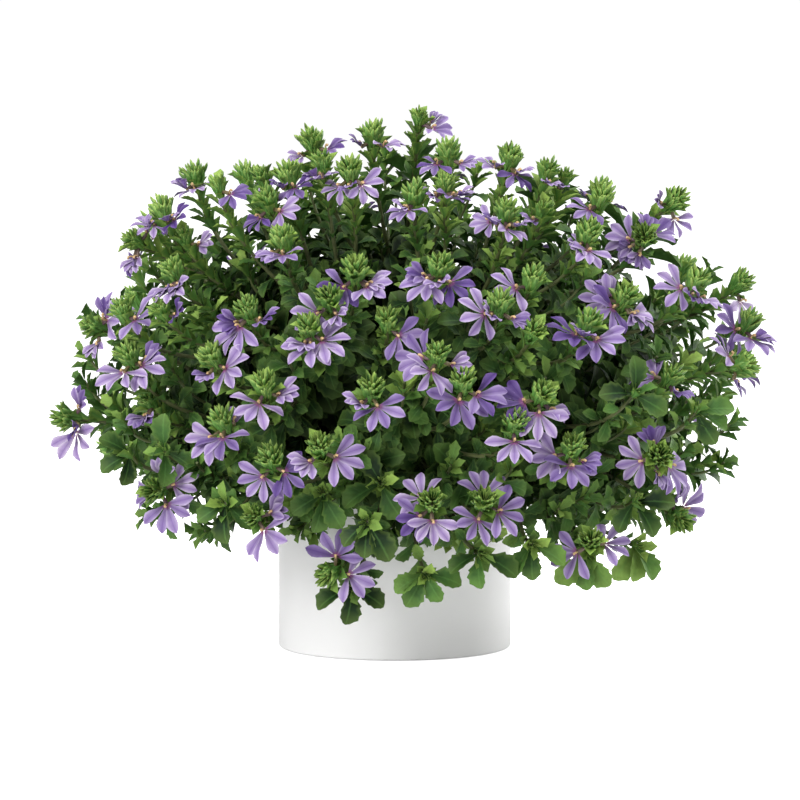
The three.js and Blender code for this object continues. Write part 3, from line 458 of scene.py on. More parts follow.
# Flower heads. Each is the tip of a shoot: a tuft of bracts, with blooms round the stem below
# it. Their places are read in the square picture, in pixels across and down.
UP = Vector((0, 0, 1))
ACROSS = Vector((1, 0, 0))
TO_VIEWER = Vector((0, -1, 0))
MOUND = {"x": 0.008, "z": 0.150, "wide": 0.205, "deep": 0.180, "tall": 0.162}
TOP_DRAW = 0.3
BACK = {"count": 19, "lowest": -0.45, "highest": 0.93, "round": 0.93, "tall": 0.86}
BACK_CROWDING = 0.85
CROWN_SINE = 0.6
CROWN_SPREAD = 1.15
SIDE_SPREAD = 0.94
INNER = {"count": 11, "lowest": 0.15, "highest": 0.97, "depths": (0.82, 0.66)}
LEAFY_TIP_SIZE = 0.5
LEAST_DEPTH = 0.01
GOLDEN_STEP = 0.6180339887
SWING = 0.25
NOD = 0.15
STEEPNESS = [(0.04, -18), (0.075, 8), (0.1, 34), (0.125, 52), (0.22, 62), (0.31, 82)]


def seen_at(across_px, down_px, depth):
    """Where the line of sight through a pixel meets the plane y = depth."""
    ahead = Vector((0, math.cos(EYE_TILT), -math.sin(EYE_TILT)))
    above = Vector((0, math.sin(EYE_TILT), math.cos(EYE_TILT)))
    eye = LOOK_AT - ahead * EYE_DISTANCE
    ray = ahead * FOCAL_PIXELS + ACROSS * (across_px - PICTURE_PIXELS / 2)
    ray += above * (PICTURE_PIXELS / 2 - down_px)
    return eye + ray * ((depth - eye.y) / ray.y)


def drawn_in(share):
    """The mound draws in toward its top."""
    return 1 - TOP_DRAW * max(0.0, share) ** 2


def on_mound(across_px, down_px, sunk):
    """The place on the front of the mound that shows at a pixel, closed in on in three rounds."""
    place = seen_at(across_px, down_px, 0)
    for _ in range(3):
        u = (place.x - MOUND["x"]) / MOUND["wide"]
        w = (place.z - MOUND["z"]) / MOUND["tall"]
        depth = -MOUND["deep"] * math.sqrt(max(LEAST_DEPTH, 1 - u * u - w * w)) * drawn_in(w)
        place = seen_at(across_px, down_px, depth * (1 - sunk))
    return place


def steepness_at(height):
    """How steeply a shoot stands at a height."""
    heights, angles = zip(*STEEPNESS)
    return math.radians(np.interp(height, heights, angles))


def clock_direction(hour, forward):
    """A direction as on a clock face, with a share toward the viewer."""
    turn = math.radians(hour * 30)
    return (ACROSS * math.sin(turn) + UP * math.cos(turn) + TO_VIEWER * forward).normalized()


def head(across_px, down_px, opened, side=(), **options):
    """A flower head: its tuft's pixels, and the clock hours of its open and its side blooms."""
    row = {"px": (across_px, down_px), "open": opened, "side": side, "sunk": 0.0, "size": 1.0}
    return {**row, **options}


FRONT_HEADS = [
    head(194, 168, [6], [8]),
    head(217, 178, [4], size=0.8),
    head(160, 202, [8, 4], [5]),
    head(128, 238, [9], [12, 7], lean=(10, 0.5), size=0.8),
    head(170, 264, [6], [7, 5]),
    head(182, 232, [], [3], sunk=0.3, size=0.8),
    head(309, 133, [3], [9]),
    head(321, 157, [6], [7], size=0.9),
    head(286, 166, [5], [7]),
    head(261, 171, [], [5], size=0.8, sunk=0.2),
    head(264, 193, [8, 4]),
    head(349, 163, [4, 8], [6]),
    head(372, 126, [4], [9]),
    head(420, 112, [3], [1], size=0.7),
    head(448, 143, [8], [3]),
    head(415, 187, [7], [8]),
    head(445, 178, [5], [8, 3], size=0.8),
    head(512, 150, [9, 5], [4]),
    head(549, 163, [], [6], size=0.9),
    head(566, 172, [], [7], size=0.7, sunk=0.2),
    head(507, 204, [10, 6], [8, 4]),
    head(546, 205, [], [8], size=0.8, sunk=0.2),
    head(604, 190, [8]),
    head(591, 226, [6], [8]),
    head(645, 232, [10, 1], [12, 9, 7], lean=(12, 1.4)),
    head(681, 196, [4], [9], lean=(1.6, 0.4)),
    head(701, 275, [9, 5], [7]),
    head(746, 278, [4], lean=(1.5, 0.3)),
    head(752, 315, [8, 5], [3], sunk=0.1),
    head(752, 365, [11], [3], lean=(2.6, 0.3)),
    head(630, 290, [10, 3, 8], [12, 4], sunk=0.1),
    head(591, 315, [4, 8], [7]),
    head(536, 326, [], size=0.9),
    head(534, 271, [9]),
    head(502, 296, [9], [8, 3]),
    head(441, 259, [8, 4], [6, 10]),
    head(356, 263, [8, 4], [3], size=1.1),
    head(281, 231, [6], [8]),
    head(246, 302, [8], [10, 4]),
    head(328, 292, [9], [5]),
    head(307, 320, [4, 6], [7]),
    head(387, 314, [4], size=0.9, sunk=0.1),
    head(439, 348, [11, 7], [2], size=0.9),
    head(463, 375, [3, 6.6]),
    head(545, 388, [9, 6], [3]),
    head(516, 416, [6]),
    head(575, 441, [9, 6], [3]),
    head(371, 382, [5], [8]),
    head(262, 378, [7], [3]),
    head(319, 441, [3], [8]),
    head(268, 452, [8, 4]),
    head(219, 413, [9, 6], [12]),
    head(208, 350, [4], [7]),
    head(158, 305, [], [3], size=0.8),
    head(120, 303, [4], size=0.9),
    head(86, 325, [2], [11, 7], lean=(9.6, 0.3), size=0.8),
    head(125, 348, [4, 7], [1]),
    head(145, 395, [], [7, 6], size=0.8, sunk=0.2),
    head(58, 417, [7], [1, 4], lean=(9.3, 0.4)),
    head(150, 490, [2, 5.5], [9, 12], lean=(9.4, 1.4)),
    head(250, 513, [5], [2], size=0.8),
    head(324, 578, [12, 3.5], lean=(8, 0.9)),
    head(432, 497, [11, 8, 6], lean=(12, 1.3)),
    head(484, 497, [12, 7, 3], lean=(12, 1.3)),
    head(591, 537, [2, 8.6], lean=(12, 1.3), size=0.9),
    head(662, 453, [9, 3.4], [12, 6], lean=(1, 2)),
    head(684, 522, [3], [12], lean=(4, 1.2)),
    head(675, 370, [12], [5], size=0.9, sunk=0.1),
]


def leafy_tip(across_px, down_px, leaf_hours, **options):
    """A shoot without a flower: the pixels of its tip, and the clock hours of its leaves."""
    row = {"px": (across_px, down_px), "leaf_hours": leaf_hours, "sunk": 0.05, "tint": 0.5}
    return {**row, "size": LEAFY_TIP_SIZE, **options}


LEAFY_TIPS = [
    leafy_tip(426, 575, [3.5, 5, 8, 7], tint=0.62),
    leafy_tip(483, 555, [4, 6, 8]),
    leafy_tip(350, 590, [4, 6.3, 8], tint=0.25),
    leafy_tip(592, 555, [4.8, 6, 7.6], tint=0.8),
    leafy_tip(640, 545, [5, 6, 7], tint=0.85),
    leafy_tip(535, 545, [6, 7, 4]),
    leafy_tip(126, 448, [6.4, 10, 8], sunk=0.1, tint=0.3),
    leafy_tip(160, 445, [6, 12, 4], sunk=0.1, tint=0.35),
    leafy_tip(222, 500, [6, 4.5, 8], tint=0.35),
    leafy_tip(700, 405, [2.8, 4, 5], tint=0.42),
    leafy_tip(640, 498, [5, 7, 3], tint=0.2),
    leafy_tip(638, 388, [4, 9, 12], tint=0.38),
    leafy_tip(380, 480, [5, 8, 11], sunk=0.15, tint=0.2),
    leafy_tip(322, 490, [5, 6.4, 8], sunk=0.1, tint=0.25),
    leafy_tip(366, 520, [5, 6.2, 7.6], tint=0.3),
]

draw_state = 20260


def between(low, high):
    """The next of the repeatable draws that the solids' heads use too, in the same order."""
    global draw_state
    draw_state = draw_state * 16807 % 2147483647
    return low + (high - low) * draw_state / 2147483647


def aim_of(row, place):
    """The way a tuft points. Its third draw is one that only the solids use."""
    swing, nod = between(-SWING, SWING), between(-NOD, NOD)
    between(17, 34)
    if row.get("lean"):
        return clock_direction(*row["lean"])
    steep = steepness_at(place.z) + nod
    azimuth = math.atan2(place.y, place.x - MOUND["x"]) + swing
    return round_from(azimuth, math.cos(steep), math.sin(steep))


def front_shoot(row):
    """A shoot whose tip shows in the picture."""
    place = on_mound(*row["px"], row["sunk"])
    return {**row, "place": place, "aim": aim_of(row, place), "front": True}


def inside_mound(level_share, tall_share, sine, azimuth):
    """A place in the mound, by its shares of the half sizes, its height and its azimuth."""
    level = level_share * math.sqrt(1 - sine * sine)
    return Vector((
        MOUND["x"] + MOUND["wide"] * level * math.cos(azimuth),
        MOUND["deep"] * level * math.sin(azimuth) * drawn_in(sine),
        MOUND["z"] + MOUND["tall"] * tall_share * sine,
    ))


def golden_azimuth(k, spread):
    """An azimuth on the far side, stepped by the golden ratio."""
    return math.pi * (0.5 + spread * ((k * GOLDEN_STEP + 0.3) % 1 - 0.5))


def back_shoot(k):
    """A shoot of the far side, closer to its neighbours round the crown."""
    share = ((k + 0.5) / BACK["count"]) ** BACK_CROWDING
    sine = BACK["lowest"] + (BACK["highest"] - BACK["lowest"]) * share
    azimuth = golden_azimuth(k, CROWN_SPREAD if sine > CROWN_SINE else SIDE_SPREAD)
    place = inside_mound(BACK["round"], BACK["tall"], sine, azimuth)
    row = {"open": [[4], [], [6], []][k % 4], "side": [[8], [5], [], [3, 7]][k % 4]}
    return {**row, "size": 1.0, "place": place, "aim": aim_of(row, place), "front": False}


def inner_shoot(k):
    """A leafy shoot inside the mound, with two rounds of large leaves below its tip."""
    sine = INNER["lowest"] + (INNER["highest"] - INNER["lowest"]) * (k + 0.5) / INNER["count"]
    depth = INNER["depths"][k % len(INNER["depths"])]
    place = inside_mound(depth, depth, sine, golden_azimuth(k, CROWN_SPREAD))
    row = {"size": LEAFY_TIP_SIZE, "rounds": (0.004, 0.013)}
    return {**row, "place": place, "aim": aim_of({}, place)}


shoots = [front_shoot(row) for row in FRONT_HEADS]
shoots += [back_shoot(k) for k in range(BACK["count"])]
shoots += [front_shoot(row) for row in LEAFY_TIPS]
shoots += [inner_shoot(k) for k in range(INNER["count"])]


# Shoots. Thin round side shoots, green and finely grained, curve out from the browner main stems
# to the flower heads and leafy tips. All are tubes along their paths.
GROWTH_CENTRE = Vector((0, 0, 0.1))
TUFT_HEIGHT = 0.017
SHOOT_STEPS = 14
FIRST_SHOOT = 0.42
LAST_SHOOT = 0.97
COST_OF_LENGTH = 4
FOLLOW_STEM = 0.6
HEAD_FOR_TIP = 0.8
FIRST_HANDLE = 0.32
LAST_HANDLE = 0.34
MAIN_STEM_RADIUS = 0.0019
STEM_TIP_RADIUS = 0.0015
SHOOT_RADIUS = 0.00105
SHOOT_SWELL = 1.15
STEM_SIDES = 8
STEM_TINT = 0.75
SHOOT_TINT = 0.2


def shoot_path(shoot):
    """A shoot's way to the foot of its tip, from the main stem whose direction lies nearest."""
    away = shoot["place"] - GROWTH_CENTRE
    path = min(main_stems, key=lambda one: one["direction"].angle(away))["path"]
    foot = shoot["place"] - shoot["aim"] * TUFT_HEIGHT * shoot["size"] * 0.5

    def stem_way(k):
        return (path[k + 1] - path[k - 1]).normalized()

    def cost(k):
        toward = foot - path[k]
        return stem_way(k).angle(toward) + toward.length * COST_OF_LENGTH

    best = min(range(int(FIRST_SHOOT * len(path)), int(LAST_SHOOT * len(path)) - 1), key=cost)
    start = path[best]
    span = (foot - start).length
    leaving = stem_way(best) * FOLLOW_STEM + (foot - start) * (HEAD_FOR_TIP / span)
    first = start + leaving.normalized() * span * FIRST_HANDLE
    second = foot - shoot["aim"] * span * LAST_HANDLE
    places = []
    for k in range(SHOOT_STEPS + 1):
        t = k / SHOOT_STEPS
        s = 1 - t
        places.append(start * s**3 + first * 3 * s * s * t + second * 3 * s * t * t + foot * t**3)
    return places


def tube_tree():
    """Gives paths their thickness, from the radius that each point of a path holds."""
    inputs = {"Paths": "Geometry", "Sides": "Int", "Finish": "Material"}
    tree, given, out = new_tree("grow stems", "GeometryNodeTree", inputs, {"Stems": "Geometry"})
    curve = add_node(tree, "GeometryNodeMeshToCurve", {"Mesh": given["Paths"]})
    circle = {"Resolution": given["Sides"], "Radius": 1.0}
    ring = add_node(tree, "GeometryNodeCurvePrimitiveCircle", circle)
    skin = add_node(tree, "GeometryNodeCurveToMesh", {
        "Curve": curve.outputs[0], "Profile Curve": ring.outputs[0],
        "Scale": held(tree, "thickness", "FLOAT"), "Fill Caps": True,
    })
    finish_tree(tree, skin.outputs[0], given["Finish"], out)
    return tree


grow_stems = tube_tree()


def tubes(name, paths, sides, finish):
    """Round tubes along paths, each a list of places with a list of radii and a tint."""
    places, edges, thickness, tints = [], [], [], []
    for path, radii, tint in paths:
        first = len(places)
        places += [tuple(p) for p in path]
        edges += [(first + k, first + k + 1) for k in range(len(path) - 1)]
        thickness += list(radii)
        tints += [tint] * len(path)
    lines = bpy.data.meshes.new(name)
    lines.from_pydata(places, edges, [])
    hold(lines, "thickness", "FLOAT", thickness)
    hold(lines, "tint", "FLOAT", tints)
    mesh = made_by(grow_stems, name, lines, {"Sides": sides, "Finish": finish})
    mesh.shade_smooth()
    return mesh


def attribute(tree, name):
    """A number that the piece's own mesh holds."""
    return add_node(tree, "ShaderNodeAttribute", {}, attribute_name=name).outputs["Fac"]


def tinted_skin(name, roughness, first, second, patches):
    """Plant skin between two colours by the piece's tint, uneven and finely grained."""
    material, tree, shader = new_material(name, roughness)
    between_them = blend(tree, attribute(tree, "tint"), first, second)
    skin = applied(tree, uneven_colour, Color=between_them, Scale=patches, Darkest=0.6)
    grain = applied(tree, fine_grain, Scale=900.0, Depth=0.0001, Strength=0.8)
    feed(tree, shader, {"Base Color": skin["Color"], "Normal": grain["Normal"]})
    return material


for shoot in shoots:
    shoot["path"] = shoot_path(shoot)
    shoot["foot"] = shoot["path"][-1]

stem_skin = tinted_skin("stem skin", 0.6, (0.095, 0.130, 0.038), (0.120, 0.070, 0.040), 190.0)
stem_paths = []
for stem in main_stems:
    radii = np.linspace(MAIN_STEM_RADIUS, STEM_TIP_RADIUS, len(stem["path"]))
    stem_paths.append((stem["path"], radii, STEM_TINT))
for shoot in shoots:
    radii = np.linspace(SHOOT_RADIUS * SHOOT_SWELL, SHOOT_RADIUS, len(shoot["path"]))
    stem_paths.append((shoot["path"], radii, SHOOT_TINT))
stem_nodes = sorted(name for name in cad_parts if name.startswith("stem_"))
piece_of("stems", tubes("stems", stem_paths, STEM_SIDES, stem_skin), "foliage", *stem_nodes)


# Tufts. The tip of each flowering shoot is a dense rounded head of thin pointed green bracts,
# with lime edges and points, that curl in over the flower buds. Leafy tips have smaller ones.
TUFT_RADIUS = 0.0074
BRACTS = 48
LEAFY_TIP_BRACTS = 16
BRACT_LENGTH = 0.0106
BRACT_WIDTH = 0.0027
BRACT_THICKNESS = 0.0005
BRACT_SEAT = 0.36
TUFT_FROM = -0.35
TUFT_SPAN = 0.66
LEAST_SPREAD = 6
MOST_SPREAD = 34
LIME_SHARE = 0.4
GOLDEN_TURN = math.radians(137.50776)
CROWN_FROM = 0.205
CROWN_DEPTH = 0.05
CROWN_PAINTED_LIGHT = 0.16


def clamped(value):
    """A value kept between 0 and 1."""
    return min(1, max(0, value))


def crown_share(place):
    """How far up in the crown a place is, where foliage gets painted light: 0 below, 1 well in it."""
    return clamped((place.z - CROWN_FROM) / CROWN_DEPTH)


def is_flowering(shoot):
    """Leafy tips and twigs are the smallest shoots. All others carry a flower head."""
    return shoot["size"] > LEAFY_TIP_SIZE


def sideways(axis, turn):
    """A direction square to an axis, at a turn round it."""
    first = axis.orthogonal().normalized()
    return first * math.cos(turn) + axis.cross(first) * math.sin(turn)


def folded(lift):
    """A blade's crossing, folded once along its middle."""
    return [(-1.0, lift), (0.0, 0.0), (1.0, lift)]


def blade(name, stations, crossing, length, width, thickness):
    """A closed thin blade along +Y, from a pointed foot at the origin. Stations are shares of the
    length, each with the share of the width there, the rise and, where the edge is waved, its
    ruffle. Crossing gives shares across from edge to edge, each with its lift."""
    form = bmesh.new()
    along = form.verts.layers.float.new("along")
    across = form.verts.layers.float.new("across")
    under = form.verts.layers.float.new("under")

    def point(station, column, below):
        share, wide, rise, ruffle = (*station, 0.0)[:4]
        offset, lift = column
        edge = abs(offset) ** 3 * ruffle
        height = (rise + (lift + edge) * wide) * length - below * thickness
        vert = form.verts.new((offset * wide * width / 2, share * length, height))
        vert[along], vert[across], vert[under] = share, offset, float(below)
        return vert

    rows = []
    for station in [(0.0, 0.0, 0.0), *stations]:
        if station[1] == 0:
            tip = point(station, (0, 0), 0)
            rows.append([tip] * (2 * len(crossing) - 2))
            continue
        top = [point(station, column, 0) for column in crossing]
        bottom = [point(station, column, 1) for column in crossing[-2:0:-1]]
        rows.append(top + bottom)
    skin_between(form, rows, len(rows[0]))
    for low, high in zip(rows, rows[1:]):
        for column in (0, len(crossing) - 1):
            edge = form.edges.get((low[column], high[column]))
            if edge:
                edge.smooth = False
    return mesh_of(name, form)


def facing(direction, normal):
    """The turn that lays a blade along a direction with its upper face along a normal."""
    along = direction.normalized()
    over = (normal - along * normal.dot(along)).normalized()
    return Matrix((along.cross(over), along, over)).transposed()


def bract_form():
    """One bract: hollow inside, widest past its middle, with a tooth on each side and a tip that
    curls in."""
    stations = [
        (0.12, 0.5, 0.02), (0.4, 0.78, 0.0), (0.64, 1.0, 0.02), (0.73, 0.76, 0.035),
        (0.88, 0.5, 0.08), (1.0, 0.0, 0.14),
    ]
    return blade("bract", stations, folded(0.15), BRACT_LENGTH, BRACT_WIDTH, BRACT_THICKNESS)


def tuft_spots():
    """Bracts in a spiral up each tuft: close at its foot, spread above, upright in its crown."""
    vary = random.Random(21)
    spots = []
    for shoot in shoots:
        count = BRACTS if is_flowering(shoot) else LEAFY_TIP_BRACTS
        tall, wide = TUFT_HEIGHT * shoot["size"], TUFT_RADIUS * shoot["size"]
        axis = shoot["aim"]
        # Painted light: tufts high in the crown are painted paler, as if lit from above.
        tint = vary.uniform(0.25, 0.8) + CROWN_PAINTED_LIGHT * crown_share(shoot["place"])
        for k in range(count):
            share = (k + 0.5) / count
            outward = sideways(axis, k * GOLDEN_TURN)
            reach = wide * BRACT_SEAT * (1 - 0.45 * share)
            up_tuft = TUFT_FROM + TUFT_SPAN * share
            place = shoot["foot"] + axis * tall * up_tuft + outward * reach
            opened = math.sin(math.pi * 0.9 * share ** 1.25)
            spread = math.radians(LEAST_SPREAD + MOST_SPREAD * opened + vary.uniform(-9, 9))
            direction = axis * math.cos(spread) + outward * math.sin(spread)
            normal = axis * math.sin(spread) - outward * math.cos(spread)
            size = shoot["size"] * (1.05 - 0.32 * share) * vary.uniform(0.88, 1.15)
            shade = tint + vary.uniform(-0.4, 0.3)
            shade += 0.5 if vary.random() < LIME_SHARE - share else 0
            spots.append((place, facing(direction, normal), (size,) * 3, clamped(shade)))
    return spots


def blade_marks_effect():
    """Marks of a leaf or petal, from where a point lies on it: its midline, rim and side veins."""
    inputs = {"Along": "Float", "Across": "Float"}
    outputs = {"Midline": "Float", "Rim": "Float", "Veins": "Float"}
    tree, given, out = new_tree("blade marks", "ShaderNodeTree", inputs, outputs)
    along = given["Along"]
    beside = math_on(tree, "ABSOLUTE", given["Across"])
    near_rim = math_on(tree, "MAXIMUM", beside, along)
    slanted = math_on(tree, "SUBTRACT", along, math_on(tree, "MULTIPLY", beside, 0.3))
    veins = math_on(tree, "PINGPONG", math_on(tree, "MULTIPLY", slanted, 7.0), 0.5)
    midline = remapped(tree, beside, 0.0, 0.14, 1.0, 0.0)
    rim = remapped(tree, near_rim, 0.6, 1.0, 0.0, 1.0)
    feed(tree, out, {"Midline": midline, "Rim": rim, "Veins": veins})
    return tree


blade_marks = blade_marks_effect()


def leaf_finish(name, dark, middle, light, rim_share, foot_painted_shade, roughness):
    """Leaf skin: its green by the leaf's tint, with painted shade toward its foot, a paler midrib,
    rim and underside, uneven patches and sunken side veins."""
    material, tree, shader = new_material(name, roughness)
    along = attribute(tree, "along")
    marks = applied(tree, blade_marks, Along=along, Across=attribute(tree, "across"))
    green = ramp(tree, attribute(tree, "tint"), [(0.0, dark), (0.5, middle), (1.0, light)])
    green = applied(tree, uneven_colour, Color=green, Scale=240.0, Darkest=0.68)["Color"]
    # Painted shade: the blade darkens toward its foot, where it sits among the others.
    green = blend(tree, 1.0, green, remapped(tree, along, 0.0, 0.7, foot_painted_shade, 1.0), "MULTIPLY")
    midrib = tuple(shade * 1.6 + 0.015 for shade in middle)
    green = blend(tree, math_on(tree, "MULTIPLY", marks["Midline"], 0.3), green, midrib)
    green = blend(tree, math_on(tree, "MULTIPLY", marks["Rim"], rim_share), green, light)
    underside = tuple(shade * 1.25 + 0.01 for shade in middle)
    green = blend(tree, attribute(tree, "under"), green, underside)
    bump = {"Height": marks["Veins"], "Distance": 0.0003, "Strength": 0.45}
    veined = add_node(tree, "ShaderNodeBump", bump).outputs["Normal"]
    feed(tree, shader, {"Base Color": green, "Normal": veined, "Specular IOR Level": 0.2})
    return material


bract_green = leaf_finish(
    "bract green", (0.020, 0.066, 0.012), (0.070, 0.186, 0.033), (0.44, 0.60, 0.155), 0.75, 0.12, 0.3
)
bract_mesh = strewn("tuft_bracts", bract_form(), tuft_spots(), bract_green, 0.12, 5)
piece_of("tuft_bracts", bract_mesh, "foliage")


# Leaves. Thin matt green leaves with blunt teeth clothe each shoot below its tuft. They are
# small and narrow near it and grow larger toward the middle of the plant, where those of leafy
# twigs fill the mound.
LEAF_LENGTH = 0.021
LEAF_WIDTH = 0.0118
LEAF_THICKNESS = 0.00045
LEAF_LIFTS = (-12, 40)
LARGEST_LEAF = 1.05
LEAF_GROWTH = 8
LEAF_SPACING = 0.0038
SMALL_LEAF_LENGTH = 0.0130
SMALL_LEAF_WIDTH = 0.0062
SMALL_LEAF_THICKNESS = 0.0004
SMALL_LEAF_LIFTS = (38, 62)
SMALL_LEAF_SIZES = (0.7, 1.1)
SMALL_LEAF_REACH = 0.036
SMALL_LEAF_SPACING = 0.0016
LEAF_ABOVE_FOOT = 0.001
TIP_LEAF_REACH = 0.012
LEAFY_SHARE = 0.75
INNER_LEAF = 1.43
INNER_LEAF_PAINTED_SHADE = 0.2
INNER_DEPTH = 0.6
MOUND_MIDDLE = Vector((MOUND["x"], 0, MOUND["z"]))
INNER_BELT = {"count": 190, "sines": (-0.5, 0.97), "depths": (0.5, 0.88)}
SKIRT_BELT = {"count": 70, "sines": (-0.68, -0.3), "depths": (0.5, 0.86)}
OUTER_BELT = {"count": 56, "sines": (-0.3, 0.5), "depths": (0.82, 0.93)}
RIM_TWIGS = 26
RIM_AZIMUTHS = (-138, -42)
RIM_REACHES = (0.074, 0.098)
RIM_HEIGHTS = (0.066, 0.104)
TWIG_SIDES = 5
TWIG_SLIMNESS = 0.8
TWIG_TINT = 0.1
EVEN_AROUND = 0.7548776662
EVEN_UP = 0.5698402910


def large_leaf_form():
    """A spoon-shaped leaf with a few blunt teeth toward its tip, arched and slightly waved."""
    stations = [
        (0.12, 0.16, 0.02), (0.32, 0.46, 0.05, 0.02), (0.48, 0.86, 0.06, 0.05),
        (0.53, 0.76, 0.055, 0.04), (0.68, 1.0, 0.04, 0.05), (0.74, 0.84, 0.03, 0.035),
        (0.86, 0.86, 0.0, 0.03), (0.9, 0.6, -0.02, 0.02), (0.97, 0.34, -0.05), (1.0, 0.0, -0.07),
    ]
    return blade("large_leaf", stations, folded(0.12), LEAF_LENGTH, LEAF_WIDTH, LEAF_THICKNESS)


def inner_leaf_form():
    """A plain spoon-shaped leaf, for the ones deep inside the mound."""
    stations = [
        (0.14, 0.17, 0.02), (0.42, 0.72, 0.06, 0.04), (0.7, 1.0, 0.04, 0.05),
        (0.91, 0.6, -0.02, 0.02), (1.0, 0.0, -0.07),
    ]
    return blade("inner_leaf", stations, folded(0.12), LEAF_LENGTH, LEAF_WIDTH, LEAF_THICKNESS)


def small_leaf_form():
    """A narrow leaf with a tooth or two on each side."""
    stations = [
        (0.2, 0.42, 0.03), (0.52, 0.92, 0.04), (0.6, 0.76, 0.035), (0.76, 1.0, 0.02),
        (0.84, 0.62, 0.0), (1.0, 0.0, -0.04),
    ]
    sizes = (SMALL_LEAF_LENGTH, SMALL_LEAF_WIDTH, SMALL_LEAF_THICKNESS)
    return blade("small_leaf", stations, folded(0.14), *sizes)


def grown_twig(place, turn, steep, least_leaf):
    """A twig to a place, that ends in a direction, with the size of its outermost large leaves."""
    aim = round_from(turn, math.cos(steep), math.sin(steep))
    twig = {"place": place, "aim": aim, "size": LEAFY_TIP_SIZE}
    path = shoot_path(twig)
    return {**twig, "path": path, "foot": path[-1], "least_leaf": least_leaf}


def belt_of_twigs(vary, belt):
    """Leafy twigs without a flower, spread evenly over a belt of the mound between two heights,
    given as sines, and two depths."""
    lowest, highest = belt["sines"]
    grown = []
    for k in range(belt["count"]):
        azimuth = 2 * math.pi * ((k * EVEN_AROUND + vary.uniform(-0.01, 0.01)) % 1)
        sine = lowest + (highest - lowest) * (k * EVEN_UP % 1)
        depth = vary.uniform(*belt["depths"])
        place = inside_mound(depth, depth, sine, azimuth)
        steep = steepness_at(place.z) + vary.uniform(-0.3, 0.3)
        grown.append(grown_twig(place, azimuth + vary.uniform(-0.5, 0.5), steep, 0.7))
    return grown


def rim_twig(vary):
    """A leafy twig that hangs before the pot's rim."""
    azimuth = math.radians(vary.uniform(*RIM_AZIMUTHS))
    place = round_from(azimuth, vary.uniform(*RIM_REACHES), vary.uniform(*RIM_HEIGHTS))
    turn = azimuth + vary.uniform(-0.6, 0.6)
    return grown_twig(place, turn, math.radians(vary.uniform(-45, -5)), 0.85)


twig_draws = random.Random(31)
twigs = belt_of_twigs(twig_draws, INNER_BELT) + belt_of_twigs(twig_draws, SKIRT_BELT)
twigs += [rim_twig(twig_draws) for _ in range(RIM_TWIGS)]
twigs += belt_of_twigs(twig_draws, OUTER_BELT)
twig_paths = []
for twig in twigs:
    radii = [SHOOT_RADIUS * TWIG_SLIMNESS] * len(twig["path"])
    twig_paths.append((twig["path"], radii, TWIG_TINT))
piece_of("inner_twigs", tubes("inner_twigs", twig_paths, TWIG_SIDES, stem_skin), "foliage")


def depth_share(place):
    """How near a place is to the mound's outside: 0 in its middle, 1 outside."""
    across = (place.x - MOUND["x"]) / MOUND["wide"]
    return Vector((across, place.y / MOUND["deep"], (place.z - MOUND["z"]) / MOUND["tall"])).length


def leaves_along(shoot, vary, large, small):
    """Leaves in a spiral along a shoot, from its tuft down: small and close, then larger. Large
    leaves get painted shade: the deeper inside the mound one hangs, the darker it is painted."""
    path = shoot["path"]
    lengths = np.cumsum([0] + [(b - a).length for a, b in zip(path, path[1:])])
    flowering = is_flowering(shoot)
    distance = -LEAF_ABOVE_FOOT if flowering else 0.0
    turn = vary.uniform(0, FULL_TURN)
    tint = vary.uniform(0.15, 0.6)
    close = SMALL_LEAF_REACH * vary.uniform(0.8, 1.2) if flowering else TIP_LEAF_REACH
    while distance < lengths[-1] * LEAFY_SHARE:
        at = min(lengths[-1] - distance, lengths[-1])
        k = max(1, min(int(np.searchsorted(lengths, at)), len(path) - 1))
        share = (at - lengths[k - 1]) / (lengths[k] - lengths[k - 1])
        place = path[k - 1].lerp(path[k], clamped(share))
        axis = (path[k] - path[k - 1]).normalized()
        outward = sideways(axis, turn)
        # Painted light: leaves high in the crown are painted paler, as if lit from above.
        crown_light = CROWN_PAINTED_LIGHT * crown_share(place)
        shade = clamped(tint + 0.15 + crown_light + vary.uniform(-0.22, 0.22))
        is_small = distance < close
        if is_small:
            lift = math.radians(vary.uniform(*SMALL_LEAF_LIFTS))
            size = vary.uniform(*SMALL_LEAF_SIZES)
            # Painted light: small leaves are painted lighter toward the tuft, out where light reaches,
            # and less on twigs inside the mound.
            tip_painted_light = 0.5 if flowering else 0.2
            shade = min(1, shade + tip_painted_light * (1 - distance / close))
        else:
            lift = math.radians(vary.uniform(*LEAF_LIFTS))
            grown = shoot.get("least_leaf", 0.5) + (distance - close) * LEAF_GROWTH
            size = min(LARGEST_LEAF, grown) * vary.uniform(0.8, 1.2)
            # Painted shade: a large leaf is darker the deeper inside the mound it hangs.
            shade *= min(1, max(0.05, depth_share(place) * 2.4 - 1.3))
        direction = outward * math.cos(lift) + axis * math.sin(lift)
        normal = axis + UP * 0.5 + outward * -0.2
        if not (flowering and is_small):
            normal += (place - MOUND_MIDDLE).normalized() * 1.1
        spot = (place + outward * SHOOT_RADIUS * 0.5, facing(direction, normal), (size,) * 3, shade)
        (small if is_small else large).append(spot)
        distance += SMALL_LEAF_SPACING if is_small else LEAF_SPACING
        turn += GOLDEN_TURN


